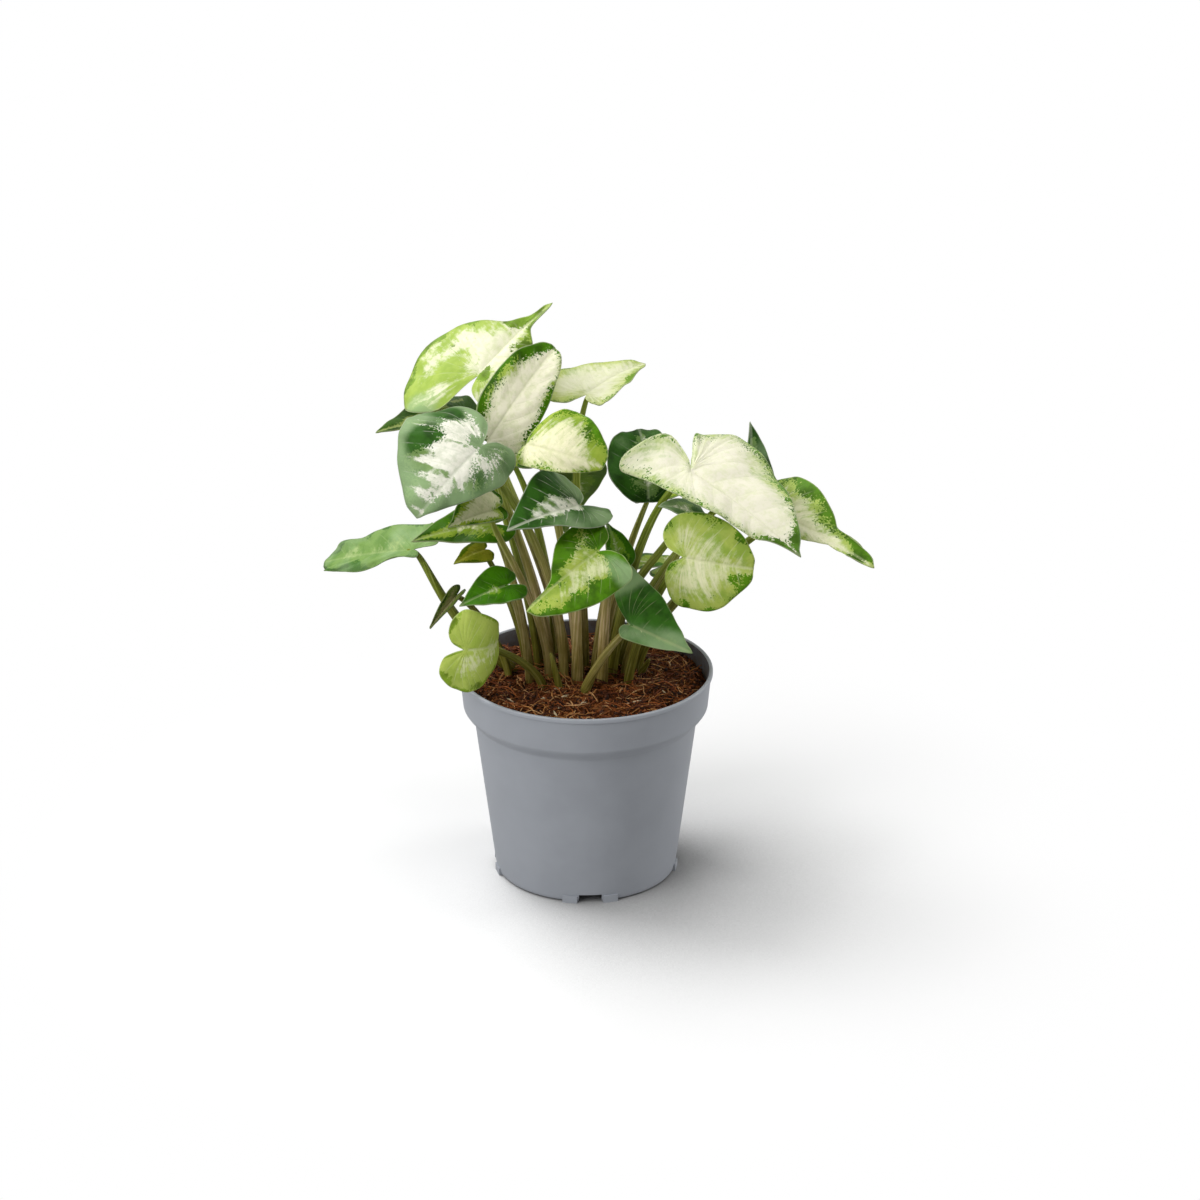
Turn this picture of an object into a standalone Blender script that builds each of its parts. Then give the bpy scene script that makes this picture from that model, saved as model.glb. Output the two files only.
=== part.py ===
"""A potted syngonium: a 12 cm nursery pot of coir soil, with 27 leaves on petioles and two young shoots.

Run it in Blender's text editor, or with blender --background --python part.py.
Metres, +Z up. The origin is the centre of the pot's foot, on the surface that the pot stands on.
The plant's front looks along -Y. Sizes below are in millimetres, angles in degrees.
"""

import math
from typing import NamedTuple

import bmesh
import bpy
from mathutils import Matrix, Vector

MM = 0.001
OBJECT_NAME = "potted_syngonium"
GAP = 0.3

# The pot: a turned plastic shell with a stepped rim band, and a foot ring cut by drain notches.
RIM_RADIUS = 60.0
RIM_HEIGHT = 102.0
LIP_WIDTH = 1.6
LIP_DEPTH = 2.4
WALL = 1.2
BAND_TOP_RADIUS = 59.2
BAND_BASE_RADIUS = 57.8
BAND_BASE_HEIGHT = 84.5
BODY_TOP_RADIUS = 52.8
BODY_TOP_HEIGHT = 78.0
BODY_BASE_RADIUS = 43.3
INNER_BAND_BASE_HEIGHT = 84.8
INNER_STEP_HEIGHT = 79.2
INNER_BODY_TOP_HEIGHT = 77.4
FOOT_LIFT = 0.7
FOOT_RING_WIDTH = 2.6
FOOT_RING_TAPER = 0.6
FOOT_RING_EDGE = 1.2
FLOOR_TOP = 5.0
STEP_EDGE_WIDTH = 0.9
STEP_EDGE_HEIGHT = 1.6
LIP_EDGE = 0.4
TURN_STEPS = 40
NOTCHES = 4
NOTCH_WIDTH = 10.8
NOTCH_HEIGHT = 4.2
NOTCH_DEPTH = 8.0
FRONT_NOTCH_ANGLE = -87.0
FOOT_WIDTH = 7.0
FOOT_SIZE = (1.5, FOOT_WIDTH, 2.0)
FOOT_RING_RADIUS = 41.5
DRAIN_HOLES = 6
DRAIN_HOLE_RADIUS = 3.5
DRAIN_HOLE_CIRCLE = 24.0
DRAIN_HOLE_SIDES = 12

# The soil: a mounded plug, with a socket for each stem.
SOIL_EDGE_HEIGHT = 95.0
SOIL_CROWN_HEIGHT = 98.5
SOIL_TOP_RADII = (0, 12, 24, 36, 46)
SOIL_STEPS = 32
SOIL_GAP = 0.45
SOCKET_DEPTH = 6.0
SOCKET_CLEARANCE = 0.35
SOCKET_SIDES = 8

# Leaf blades. An outline is one half of a leaf, from the tip to the notch at the petiole, as shares of
# the length: first forwards along the midrib, then sideways.
OUTLINES = {
    "arrow": (
        (1.00, 0.0), (0.92, 0.05), (0.78, 0.14), (0.58, 0.27), (0.34, 0.39), (0.08, 0.46),
        (-0.16, 0.44), (-0.35, 0.35), (-0.45, 0.22), (-0.38, 0.09), (-0.20, 0.03), (-0.04, 0.0),
    ),
    "round": (
        (1.00, 0.0), (0.97, 0.10), (0.88, 0.21), (0.73, 0.31), (0.53, 0.40), (0.28, 0.45),
        (0.02, 0.46), (-0.20, 0.42), (-0.36, 0.32), (-0.42, 0.19), (-0.32, 0.07), (-0.04, 0.0),
    ),
    "tailed": (
        (1.00, 0.0), (0.91, 0.02), (0.80, 0.03), (0.69, 0.045), (0.58, 0.10), (0.46, 0.23),
        (0.24, 0.42), (-0.10, 0.46), (-0.33, 0.40), (-0.45, 0.26), (-0.34, 0.07), (-0.04, 0.0),
    ),
    "waisted": (
        (1.00, 0.0), (0.95, 0.06), (0.86, 0.11), (0.75, 0.13), (0.64, 0.14), (0.54, 0.18),
        (0.42, 0.30), (0.22, 0.43), (-0.08, 0.46), (-0.34, 0.36), (-0.34, 0.10), (-0.04, 0.0),
    ),
    "flared": (
        (1.00, 0.0), (0.88, 0.05), (0.73, 0.12), (0.57, 0.18), (0.40, 0.245), (0.22, 0.30),
        (0.02, 0.35), (-0.20, 0.395), (-0.40, 0.44), (-0.50, 0.37), (-0.38, 0.16), (-0.04, 0.0),
    ),
    "spoon": (
        (1.00, 0.0), (0.99, 0.16), (0.94, 0.29), (0.83, 0.39), (0.65, 0.43), (0.45, 0.42),
        (0.26, 0.37), (0.08, 0.31), (-0.10, 0.27), (-0.24, 0.20), (-0.24, 0.07), (-0.04, 0.0),
    ),
    "oval": (
        (1.00, 0.0), (0.98, 0.09), (0.91, 0.19), (0.79, 0.29), (0.62, 0.36), (0.44, 0.38),
        (0.27, 0.35), (0.13, 0.27), (0.03, 0.18), (-0.03, 0.10), (-0.05, 0.04), (-0.04, 0.0),
    ),
}
WIDEST = 0.46
LOBE_REACH = 0.45
BLADE_THICKNESS = 0.8
BLADE_RINGS = 3

# Petioles: tubes that leave the soil upright, taper, and meet the blade from below and behind.
PETIOLE_POINTS = 9
PETIOLE_TOP_RADIUS = 1.1
PETIOLE_FOOT_RADIUS = 1.7
FOOT_RADIUS_PER_LENGTH = 0.02
PETIOLE_TAPER = 1.4
COLLAR_HEIGHT = 1.0
PETIOLE_SEAT = 1.7
PETIOLE_PITCH = 35.0


class Leaf(NamedTuple):
    """One leaf: where its blade starts and ends, how the blade turns and curves, and where it roots.

    Width, lobe, fold, curl, swing and outline hold one value, or a pair for the left and the right
    half as seen from the base with the upper side up. Swing carries the inner part of a lobe to the
    left, and leaves the margin where it is.
    """

    name: str
    base: tuple
    tip: tuple
    root: tuple
    roll: float
    width: object = 1.0
    lobe: object = 1.0
    fold: object = 12.0
    curl: object = 20.0
    bow: float = 25.0
    droop: float = 15.0
    lean: float = 0.35
    rise: float = 0.4
    reach: float = 0.25
    swing: object = 0.0
    outline: object = "arrow"
    colour: str = "leaf_green"


LEAVES = (
    Leaf("top_left", (-48, 18, 242), (-15, 46, 267), (-10, 14), 15, (1.85, 1.0), (1.5, 0.6), 8, 25, 10,
         outline="tailed", colour="leaf_cream"),
    Leaf("top_cream", (-44, -6, 217), (-13, 10, 257), (-16, 5), 45, (0.75, 0.65), (0.4, 0.9), 10, 25,
         25, outline=("oval", "round"), colour="leaf_cream"),
    Leaf("left_round", (-46, -40, 226), (-74, -56, 198), (-10, -2), -50, (0.95, 1.72), (0.6, 1.0), 0,
         (45, 25), 75, outline=("arrow", "round"), lean=0, rise=0.5, colour="leaf_cream"),
    Leaf("left_under", (-42, -30, 192), (-61, -46, 190), (-17, -4), -38, (0.6, 1.15), (0.4, 1.0), 15,
         10, lean=0.1, colour="leaf_cream"),
    Leaf("left_green", (-43, -5, 176), (-79, -15, 171.5), (-26, 1), -35, (0.65, 0.8), 0.6, 10),
    Leaf("far_left", (-81, 8, 158.5), (-125.9, 48, 136.5), (-34, 7), -38, (0.31, 0.54), (0.3, 0.5), 5,
         20, 10, outline=("spoon", "round"), lean=2.6, rise=0.5, reach=0.1),
    Leaf("left_hanging", (-47, 4, 160), (-61, -4, 156), (-28, 13), -30, 0.9, 0.4, 5),
    Leaf("low_left", (-36, -26, 154), (-57, -38, 149), (-26, -7), -25, 1.0, 0.7, 14, 5, 15,
         colour="leaf_dark"),
    Leaf("curled", (-60, -4, 140), (-72, -14, 128), (-36, 0), -30, 0.55, 0.5, 50, -10, 10,
         colour="leaf_dark"),
    Leaf("over_rim", (-54, -42.5, 129), (-42, -20.5, 127.5), (-20, -14), 90, (1.35, 1.65), (0.6, 0.9),
         5, 20, 120, reach=0.35),
    Leaf("centre_dark", (-3, -32, 195), (-34, -63, 195), (-4, -9), -30, (0.75, 1.1), (0.8, 0.4), 12, 12,
         20, colour="leaf_dark"),
    Leaf("dome", (-26, -26, 222), (9, -40, 216), (-3, -2), 60, (1.55, 0.5), (0.4, 0.2), 0, (40, 30), 70,
         outline=("oval", "round"), colour="leaf_cream"),
    Leaf("top_right", (1, 20, 231), (29, 56, 234), (-1, 8), 8, (1.1, 0.6), (0.65, 0.25), 8, 15, 20,
         colour="leaf_cream"),
    Leaf("right_cream", (48, -22, 208), (96, -50, 178), (12, -1), 10, (1.55, 0.93), (0.5, 0.88), 12,
         25, 15, swing=(1.2, 1.3), outline=("arrow", "flared"), colour="leaf_cream"),
    Leaf("far_right", (87, -6, 182), (130.2, -44, 169.6), (24, 8), 34, (0.74, 0.34), (0.7, 0.35),
         outline="waisted", colour="leaf_cream"),
    Leaf("behind_right", (76, 22, 186), (77, 32, 213), (15, 9), 30, (0.3, 0.95), 0.5, 10, 30, 30,
         colour="leaf_dark"),
    Leaf("inner_right", (29, 0, 185), (25, 24, 212), (7, 3), 5, (1.3, 1.0), 0.2, 12, 25, 60,
         outline="oval", colour="leaf_dark"),
    Leaf("right_round", (45.5, -38, 172), (76, -46, 170), (20, -9), 75, (1.5, 1.72), (1.0, 0.8), 8, 25, 30,
         outline="round"),
    Leaf("small_right", (50, -13.5, 185), (33, -18.5, 190), (18, 1), -20, 1.0, 1.0, 10, 20, 30),
    Leaf("centre_low", (6, -50, 180), (-26, -72, 160), (8, -10), -30, (1.05, 0.85), (0.3, 0.6), 12, 25,
         20, outline=("round", "tailed"), lean=0.1),
    Leaf("low_right", (21, -30, 136), (49, -44, 128), (0, -20), 54, (1.85, 0.5), (1.2, 0.3), 15, 15, 15,
         outline=("flared", "arrow"), lean=0.6, colour="leaf_dark"),
    Leaf("strip", (16, -13.5, 162.5), (10, -9.5, 178.5), (4, -4), -20, 1.0, 0.7, 15, 10, 15,
         colour="leaf_dark"),
    Leaf("left_fold", (-56, 31, 215.5), (-96.5, 16, 213.5), (-22, 12), -12, (0.75, 1.2), (0.3, 0.45), 8,
         15, 20, colour="leaf_dark"),
    Leaf("back_left", (-36, 50, 190), (-70, 67, 180), (-14, 24), 0, 0.9),
    Leaf("back_middle", (-6, 52, 178), (-10, 70, 143), (-3, 20), 0, 0.9),
    Leaf("back_right", (54, 46, 175), (84, 73.5, 166), (7, 17), -10, colour="leaf_cream"),
    Leaf("back_low", (38, 42, 137), (62, 66, 124), (18, 17), 0),
)

# Young shoots: name, foot on the soil, tip.
SHOOTS = (
    ("shoot_left", (-12, -18), (-16, -20, 118)),
    ("shoot_right", (26, 1), (30, -2, 107)),
)
SHOOT_RADIUS = 1.9
SHOOT_TIP_RADIUS = 0.5
SHOOT_SHARES = (0.0, 0.4, 0.8, 1.0)

# name: colour (linear), roughness
COLOURS = {
    "pot_plastic": ((0.27, 0.28, 0.31, 1.0), 0.5),
    "coir_soil": ((0.07, 0.026, 0.012, 1.0), 1.0),
    "leaf_cream": ((0.72, 0.74, 0.50, 1.0), 0.45),
    "leaf_green": ((0.30, 0.46, 0.10, 1.0), 0.45),
    "leaf_dark": ((0.05, 0.13, 0.03, 1.0), 0.4),
    "petiole": ((0.20, 0.22, 0.06, 1.0), 0.5),
}


def clear_scene():
    for old in list(bpy.data.objects):
        bpy.data.objects.remove(old)


def new_collection(name):
    collection = bpy.data.collections.new(name)
    bpy.context.scene.collection.children.link(collection)
    return collection


def make_material(name):
    colour, roughness = COLOURS[name]
    material = bpy.data.materials.new(name)
    material.use_nodes = True
    shader = material.node_tree.nodes["Principled BSDF"]
    shader.inputs["Base Color"].default_value = colour
    shader.inputs["Roughness"].default_value = roughness
    shader.inputs["Metallic"].default_value = 0.0
    return material


def object_from(bm, name, collection, material=None):
    """An object that holds the bmesh."""
    mesh = bpy.data.meshes.new(name)
    bm.to_mesh(mesh)
    bm.free()
    made = bpy.data.objects.new(name, mesh)
    collection.objects.link(made)
    if material:
        mesh.materials.append(material)
    return made


def turned(name, profile, steps, collection, material):
    """A solid turned about Z from (radius, height) points that run down the outer side."""
    bm = bmesh.new()
    points = [bm.verts.new((radius * MM, 0.0, height * MM)) for radius, height in profile]
    for first, second in zip(points, points[1:]):
        bm.edges.new((first, second))
    made = object_from(bm, name, collection, material)
    screw = made.modifiers.new("Turn", "SCREW")
    screw.steps = steps
    screw.render_steps = steps
    screw.use_merge_vertices = True
    screw.merge_threshold = 0.0001 * MM
    screw.use_smooth_shade = True
    return made


def cut(target, cutter, operation="DIFFERENCE"):
    modifier = target.modifiers.new(cutter.name, "BOOLEAN")
    modifier.operation = operation
    modifier.object = cutter
    modifier.solver = "EXACT"


def as_cutter(made):
    made.hide_render = True
    made.display_type = "WIRE"


def pot_profile():
    """The shell's outline: out under the floor, up the outside, over the rim, and down to the floor."""
    band_top = RIM_HEIGHT - LIP_DEPTH
    return (
        (0.0, FLOOR_TOP - WALL),
        (BODY_BASE_RADIUS - FOOT_RING_WIDTH - FOOT_RING_TAPER, FLOOR_TOP - WALL),
        (BODY_BASE_RADIUS - FOOT_RING_WIDTH, FOOT_LIFT),
        (BODY_BASE_RADIUS - FOOT_RING_TAPER, FOOT_LIFT),
        (BODY_BASE_RADIUS, FOOT_LIFT + FOOT_RING_EDGE),
        (BODY_TOP_RADIUS, BODY_TOP_HEIGHT),
        (BODY_TOP_RADIUS + STEP_EDGE_WIDTH, BODY_TOP_HEIGHT + STEP_EDGE_HEIGHT),
        (BAND_BASE_RADIUS - STEP_EDGE_WIDTH, BAND_BASE_HEIGHT - STEP_EDGE_HEIGHT),
        (BAND_BASE_RADIUS, BAND_BASE_HEIGHT),
        (BAND_TOP_RADIUS, band_top),
        (RIM_RADIUS, band_top + LIP_EDGE),
        (RIM_RADIUS, RIM_HEIGHT - LIP_EDGE),
        (RIM_RADIUS - LIP_EDGE, RIM_HEIGHT),
        (RIM_RADIUS - LIP_WIDTH, RIM_HEIGHT),
        (BAND_TOP_RADIUS - WALL, band_top),
        (BAND_BASE_RADIUS - WALL, INNER_BAND_BASE_HEIGHT),
        (BODY_TOP_RADIUS - WALL + LIP_EDGE, INNER_STEP_HEIGHT),
        (BODY_TOP_RADIUS - WALL, INNER_BODY_TOP_HEIGHT),
        (BODY_BASE_RADIUS - WALL, FLOOR_TOP),
        (0.0, FLOOR_TOP),
    )


def inner_wall_radius(height):
    """The radius of the pot's inner wall at a height between the floor and the rim."""
    wall = [point for point in reversed(pot_profile()) if point[1] >= FLOOR_TOP][1:]
    for (low_radius, low), (high_radius, high) in zip(wall, wall[1:]):
        if low <= height <= high:
            return low_radius + (high_radius - low_radius) * (height - low) / (high - low)
    return wall[-1][0]


def box_cutter(name, size, radius, height, turn, cutters):
    """A box whose middle lies at a radius and a height, turned about Z to face outwards."""
    bm = bmesh.new()
    bmesh.ops.create_cube(bm, size=1.0)
    bmesh.ops.scale(bm, vec=Vector(size) * MM, verts=bm.verts)
    bmesh.ops.translate(bm, vec=Vector((radius, 0, height)) * MM, verts=bm.verts)
    bmesh.ops.rotate(bm, matrix=Matrix.Rotation(turn, 3, "Z"), verts=bm.verts)
    made = object_from(bm, name, cutters)
    as_cutter(made)
    return made


def make_pot(parts, cutters, material):
    """The shell, its eight feet beside the drain notches, and the holes in its floor."""
    pot = turned("pot", pot_profile()[::-1], TURN_STEPS, parts, material)
    notch_size = (NOTCH_DEPTH, NOTCH_WIDTH, 2 * NOTCH_HEIGHT)
    foot_offset = (NOTCH_WIDTH + FOOT_WIDTH + 2 * GAP) / 2 / FOOT_RING_RADIUS
    for index in range(NOTCHES):
        turn = math.radians(FRONT_NOTCH_ANGLE + 360 * index / NOTCHES)
        notch = box_cutter(f"notch_{index}", notch_size, FOOT_RING_RADIUS, 0.0, turn, cutters)
        cut(pot, notch)
        for side in (-1, 1):
            foot_turn = turn + side * foot_offset
            foot = box_cutter(
                f"foot_{index}_{side}", FOOT_SIZE, FOOT_RING_RADIUS, FOOT_SIZE[2] / 2, foot_turn, cutters
            )
            cut(pot, foot, "UNION")
    for index in range(DRAIN_HOLES):
        turn = 2 * math.pi * index / DRAIN_HOLES
        centre = Vector((math.cos(turn), math.sin(turn), 0)) * DRAIN_HOLE_CIRCLE
        centre.z = FLOOR_TOP
        depth = 4 * WALL
        hole = cylinder_cutter(f"drain_{index}", centre, DRAIN_HOLE_RADIUS, depth, DRAIN_HOLE_SIDES, cutters)
        cut(pot, hole)
    return pot


def cylinder_cutter(name, centre, radius, depth, sides, cutters):
    bm = bmesh.new()
    bmesh.ops.create_cone(
        bm, cap_ends=True, segments=sides, radius1=radius * MM, radius2=radius * MM, depth=depth * MM
    )
    bmesh.ops.translate(bm, vec=Vector(centre) * MM, verts=bm.verts)
    made = object_from(bm, name, cutters)
    as_cutter(made)
    return made


def soil_height(radius):
    """The height of the soil's surface, which is mounded towards the crown."""
    share = min(radius / inner_wall_radius(SOIL_EDGE_HEIGHT), 1.0)
    return SOIL_CROWN_HEIGHT + (SOIL_EDGE_HEIGHT - SOIL_CROWN_HEIGHT) * share**2


def make_soil(parts, cutters, material):
    """The plug of soil, clear of the wall and the floor, with a socket under each stem."""
    profile = [(radius, soil_height(radius)) for radius in SOIL_TOP_RADII]
    floor = FLOOR_TOP + GAP
    side = (SOIL_EDGE_HEIGHT, INNER_BAND_BASE_HEIGHT, INNER_STEP_HEIGHT, INNER_BODY_TOP_HEIGHT, floor)
    profile += [(inner_wall_radius(height) - SOIL_GAP, height) for height in side]
    profile.append((0.0, floor))
    soil = turned("soil", profile, SOIL_STEPS, parts, material)
    feet = [(leaf.name, leaf.root, petiole_radius(leaf, 0.0)) for leaf in LEAVES]
    feet += [(name, foot, SHOOT_RADIUS) for name, foot, _ in SHOOTS]
    for name, foot, radius in feet:
        surface = soil_height(math.hypot(*foot))
        top = surface + COLLAR_HEIGHT + SOCKET_DEPTH / 2
        bottom = surface - SOCKET_DEPTH - GAP
        centre = (*foot, (top + bottom) / 2)
        width = (radius + SOCKET_CLEARANCE) / math.cos(math.pi / SOCKET_SIDES)
        cut(soil, cylinder_cutter(f"socket_{name}", centre, width, top - bottom, SOCKET_SIDES, cutters))
    return soil


def pair(value):
    """The value for a blade's left and right half."""
    return value if isinstance(value, tuple) else (value, value)


def blade_axes(leaf):
    """The blade's base, chord length and frame: along the chord, to the left, and up out of the blade."""
    base = Vector(leaf.base)
    chord = Vector(leaf.tip) - base
    along = chord.normalized()
    upright = (Vector((0, 0, 1)) - along * along.z).normalized()
    roll = math.radians(leaf.roll)
    up = upright * math.cos(roll) + along.cross(upright) * math.sin(roll)
    return base, chord.length, along, up.cross(along), up


def blade_length(leaf):
    """The midrib's length along its arc."""
    half_bow = math.radians(leaf.bow) / 2
    return blade_axes(leaf)[1] * half_bow / math.sin(half_bow)


def blade_point(leaf, forward, sideways):
    """Where a point of the flat leaf lies on the curved blade. Both numbers are shares of the length."""
    base, _, along, left, up = blade_axes(leaf)
    length = blade_length(leaf)
    side = 0 if sideways >= 0 else 1
    sideways *= pair(leaf.width)[side]
    if forward < 0:
        forward *= pair(leaf.lobe)[side]

    # Across the blade, each half leaves the midrib at its fold and curls down towards its margin.
    fold = math.radians(pair(leaf.fold)[side])
    curl = math.radians(pair(leaf.curl)[side])
    curl_rate = curl / (WIDEST * length)
    out = abs(sideways) * length
    across = (math.sin(fold) - math.sin(fold - curl_rate * out)) / curl_rate
    rise = (math.cos(fold - curl_rate * out) - math.cos(fold)) / curl_rate
    across = across if side == 0 else -across
    if forward < 0:
        across -= pair(leaf.swing)[side] * forward * max(length - out / WIDEST, 0.0)

    # Along the blade, the midrib is an arc, and the lobes behind the petiole droop.
    half_bow = math.radians(leaf.bow) / 2
    if forward >= 0:
        slope = half_bow - 2 * half_bow * forward
        arc = length / (2 * half_bow)
        run = arc * (math.sin(half_bow) - math.sin(slope))
        lift = arc * (math.cos(slope) - math.cos(half_bow))
    else:
        droop_rate = math.radians(leaf.droop) / (LOBE_REACH * length)
        back = -forward * length
        run_back = math.sin(droop_rate * back) / droop_rate
        drop = (1 - math.cos(droop_rate * back)) / droop_rate
        run = -run_back * math.cos(half_bow) + drop * math.sin(half_bow)
        lift = -run_back * math.sin(half_bow) - drop * math.cos(half_bow)
        slope = half_bow + droop_rate * back
    run -= rise * math.sin(slope)
    lift += rise * math.cos(slope)
    return base + along * run + left * across + up * lift


def make_blade(leaf, parts, material):
    """A grid wrapped round the petiole's joint, from the notch over the left half to the right half."""
    left, right = (OUTLINES[name] for name in pair(leaf.outline))
    outline = list(reversed(left)) + [(forward, -sideways) for forward, sideways in right[1:]]
    around = len(outline) - 1
    bm = bmesh.new()
    bmesh.ops.create_grid(bm, x_segments=around, y_segments=BLADE_RINGS, size=0.5)
    for vert in bm.verts:
        forward, sideways = outline[round((vert.co.x + 0.5) * around)]
        ring = vert.co.y + 0.5
        vert.co = blade_point(leaf, forward * ring, sideways * ring) * MM
    bmesh.ops.remove_doubles(bm, verts=bm.verts, dist=0.00001)
    bmesh.ops.recalc_face_normals(bm, faces=bm.faces)
    _, _, _, _, up = blade_axes(leaf)
    if sum((face.normal * face.calc_area()).dot(up) for face in bm.faces) < 0:
        bmesh.ops.reverse_faces(bm, faces=bm.faces)
    made = object_from(bm, f"leaf_{leaf.name}", parts, material)
    made.data.shade_smooth()
    shell = made.modifiers.new("Thickness", "SOLIDIFY")
    shell.thickness = BLADE_THICKNESS * MM
    shell.offset = -1.0
    return made


def bezier(points, share):
    """A point of the cubic curve through four control points."""
    a, b, c, d = points
    rest = 1 - share
    return a * rest**3 + b * (3 * rest**2 * share) + c * (3 * rest * share**2) + d * share**3


def petiole_radius(leaf, share):
    """A petiole's radius from the soil (0) to the blade (1): a broad sheath that tapers off."""
    foot_radius = PETIOLE_FOOT_RADIUS + FOOT_RADIUS_PER_LENGTH * blade_length(leaf)
    return PETIOLE_TOP_RADIUS + (foot_radius - PETIOLE_TOP_RADIUS) * (1 - share) ** PETIOLE_TAPER


def petiole_route(leaf):
    """The petiole's centre line: upright in its socket, then one sweep to the blade's underside."""
    base, _, along, _, up = blade_axes(leaf)
    half_bow = math.radians(leaf.bow) / 2
    start_up = up * math.cos(half_bow) - along * math.sin(half_bow)
    start_along = along * math.cos(half_bow) + up * math.sin(half_bow)
    pitch = math.radians(PETIOLE_PITCH)
    arrival = -(start_up * math.cos(pitch) + start_along * math.sin(pitch))
    end = base - start_up * PETIOLE_SEAT
    surface = soil_height(math.hypot(*leaf.root))
    foot = Vector((*leaf.root, surface - SOCKET_DEPTH))
    collar = Vector((*leaf.root, surface + COLLAR_HEIGHT))
    distance = (end - collar).length
    leaning = Vector((end.x - collar.x, end.y - collar.y, 0)) / distance * leaf.lean
    launch = (Vector((0, 0, 1)) + leaning).normalized()
    sweep = (
        collar,
        collar + launch * distance * leaf.rise,
        end + arrival * distance * leaf.reach,
        end,
    )
    shares = [index / (PETIOLE_POINTS - 1) for index in range(PETIOLE_POINTS)]
    route = [foot] + [bezier(sweep, share) for share in shares]
    radii = [petiole_radius(leaf, 0.0)] + [petiole_radius(leaf, share) for share in shares]
    return route, radii


def tube(name, route, radii, parts, material):
    """A tapering tube along a route, as a curve with filled caps."""
    curve = bpy.data.curves.new(name, "CURVE")
    curve.dimensions = "3D"
    curve.bevel_depth = MM
    curve.bevel_resolution = 2
    curve.use_fill_caps = True
    spline = curve.splines.new("POLY")
    spline.points.add(len(route) - 1)
    for point, place, radius in zip(spline.points, route, radii):
        point.co = (*(place * MM), 1.0)
        point.radius = radius
    spline.use_smooth = True
    curve.materials.append(material)
    made = bpy.data.objects.new(name, curve)
    parts.objects.link(made)
    return made


def make_petiole(leaf, parts, material):
    route, radii = petiole_route(leaf)
    return tube(f"petiole_{leaf.name}", route, radii, parts, material)


def make_shoot(name, foot, tip, parts, material):
    """A rolled young leaf: a short tube that narrows to a blunt tip."""
    surface = soil_height(math.hypot(*foot))
    start = Vector((*foot, surface - SOCKET_DEPTH))
    collar = Vector((*foot, surface + COLLAR_HEIGHT))
    route = [start]
    radii = [SHOOT_RADIUS]
    for share in SHOOT_SHARES:
        route.append(collar.lerp(Vector(tip), share))
        radii.append(SHOOT_TIP_RADIUS + (SHOOT_RADIUS - SHOOT_TIP_RADIUS) * math.sqrt(1 - share))
    return tube(name, route, radii, parts, material)


def main():
    clear_scene()
    parts = new_collection(OBJECT_NAME)
    cutters = new_collection("cutters")
    cutters.hide_render = True
    materials = {name: make_material(name) for name in COLOURS}
    make_pot(parts, cutters, materials["pot_plastic"])
    make_soil(parts, cutters, materials["coir_soil"])
    for leaf in LEAVES:
        make_blade(leaf, parts, materials[leaf.colour])
        make_petiole(leaf, parts, materials["petiole"])
    for name, foot, tip in SHOOTS:
        make_shoot(name, foot, tip, parts, materials["petiole"])


main()
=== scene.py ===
"""The looks of a potted arrowhead plant with variegated leaves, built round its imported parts.

Metres, +Z up; the plant's front looks along -Y. Sizes below are in millimetres, angles in degrees
and colours in sRGB hex, unless a name says otherwise.
"""

import math
import random
from typing import NamedTuple

import bmesh
import bpy
import numpy as np
from mathutils import Matrix, Vector, noise


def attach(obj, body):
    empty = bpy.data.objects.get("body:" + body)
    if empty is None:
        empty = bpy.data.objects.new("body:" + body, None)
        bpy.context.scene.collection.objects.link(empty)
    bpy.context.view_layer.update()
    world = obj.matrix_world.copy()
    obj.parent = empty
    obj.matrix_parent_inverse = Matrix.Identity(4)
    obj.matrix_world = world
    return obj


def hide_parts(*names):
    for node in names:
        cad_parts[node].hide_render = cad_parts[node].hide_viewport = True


MM = 0.001

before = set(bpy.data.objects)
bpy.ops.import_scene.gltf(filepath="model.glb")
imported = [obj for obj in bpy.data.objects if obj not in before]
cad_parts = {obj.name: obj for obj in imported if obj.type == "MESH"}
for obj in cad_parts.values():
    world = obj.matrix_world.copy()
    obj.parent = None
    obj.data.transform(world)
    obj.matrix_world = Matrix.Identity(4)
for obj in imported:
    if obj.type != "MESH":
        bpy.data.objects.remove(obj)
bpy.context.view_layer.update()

# The pot, as its part is dimensioned.
RIM_RADIUS = 60.0
RIM_HEIGHT = 102.0
LIP_WIDTH = 1.6
LIP_DEPTH = 2.4
WALL = 1.2
BAND_TOP_RADIUS = 59.2
BAND_BASE_RADIUS = 57.8
BAND_BASE_HEIGHT = 84.5
BODY_TOP_RADIUS = 52.8
BODY_TOP_HEIGHT = 78.0
BODY_BASE_RADIUS = 43.3
FOOT_LIFT = 0.7
FOOT_RING_WIDTH = 2.6
FLOOR_TOP = 5.0
NOTCHES = 4
NOTCH_WIDTH = 10.8
NOTCH_HEIGHT = 4.2
FRONT_NOTCH_ANGLE = -87.0
NOTCH_DEPTH = 8.0
FOOT_DEPTH = 1.5
FOOT_WIDTH = 7.0
FOOT_GAP = 0.3
FOOT_RING_RADIUS = 41.5
# Seen from outside, each foot runs on up the wall as a block that stands a little proud of it.
FOOT_PROUD = 1.9
FOOT_FACE_HEIGHT = 3.6
DRAIN_HOLES = 6
DRAIN_HOLE_RADIUS = 3.5
DRAIN_HOLE_CIRCLE = 24.0
DRILL_SIDES = 32
TURN_STEPS = 160
CORNER_STEPS = 4
TURN_MERGE_METRES = 0.000002
SHARP_FROM = 35.0
# The inner wall takes a darker plastic, painted shade with soil dust on it, up to this far below the rim's
# top.
LIP_INSIDE = 0.8

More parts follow.
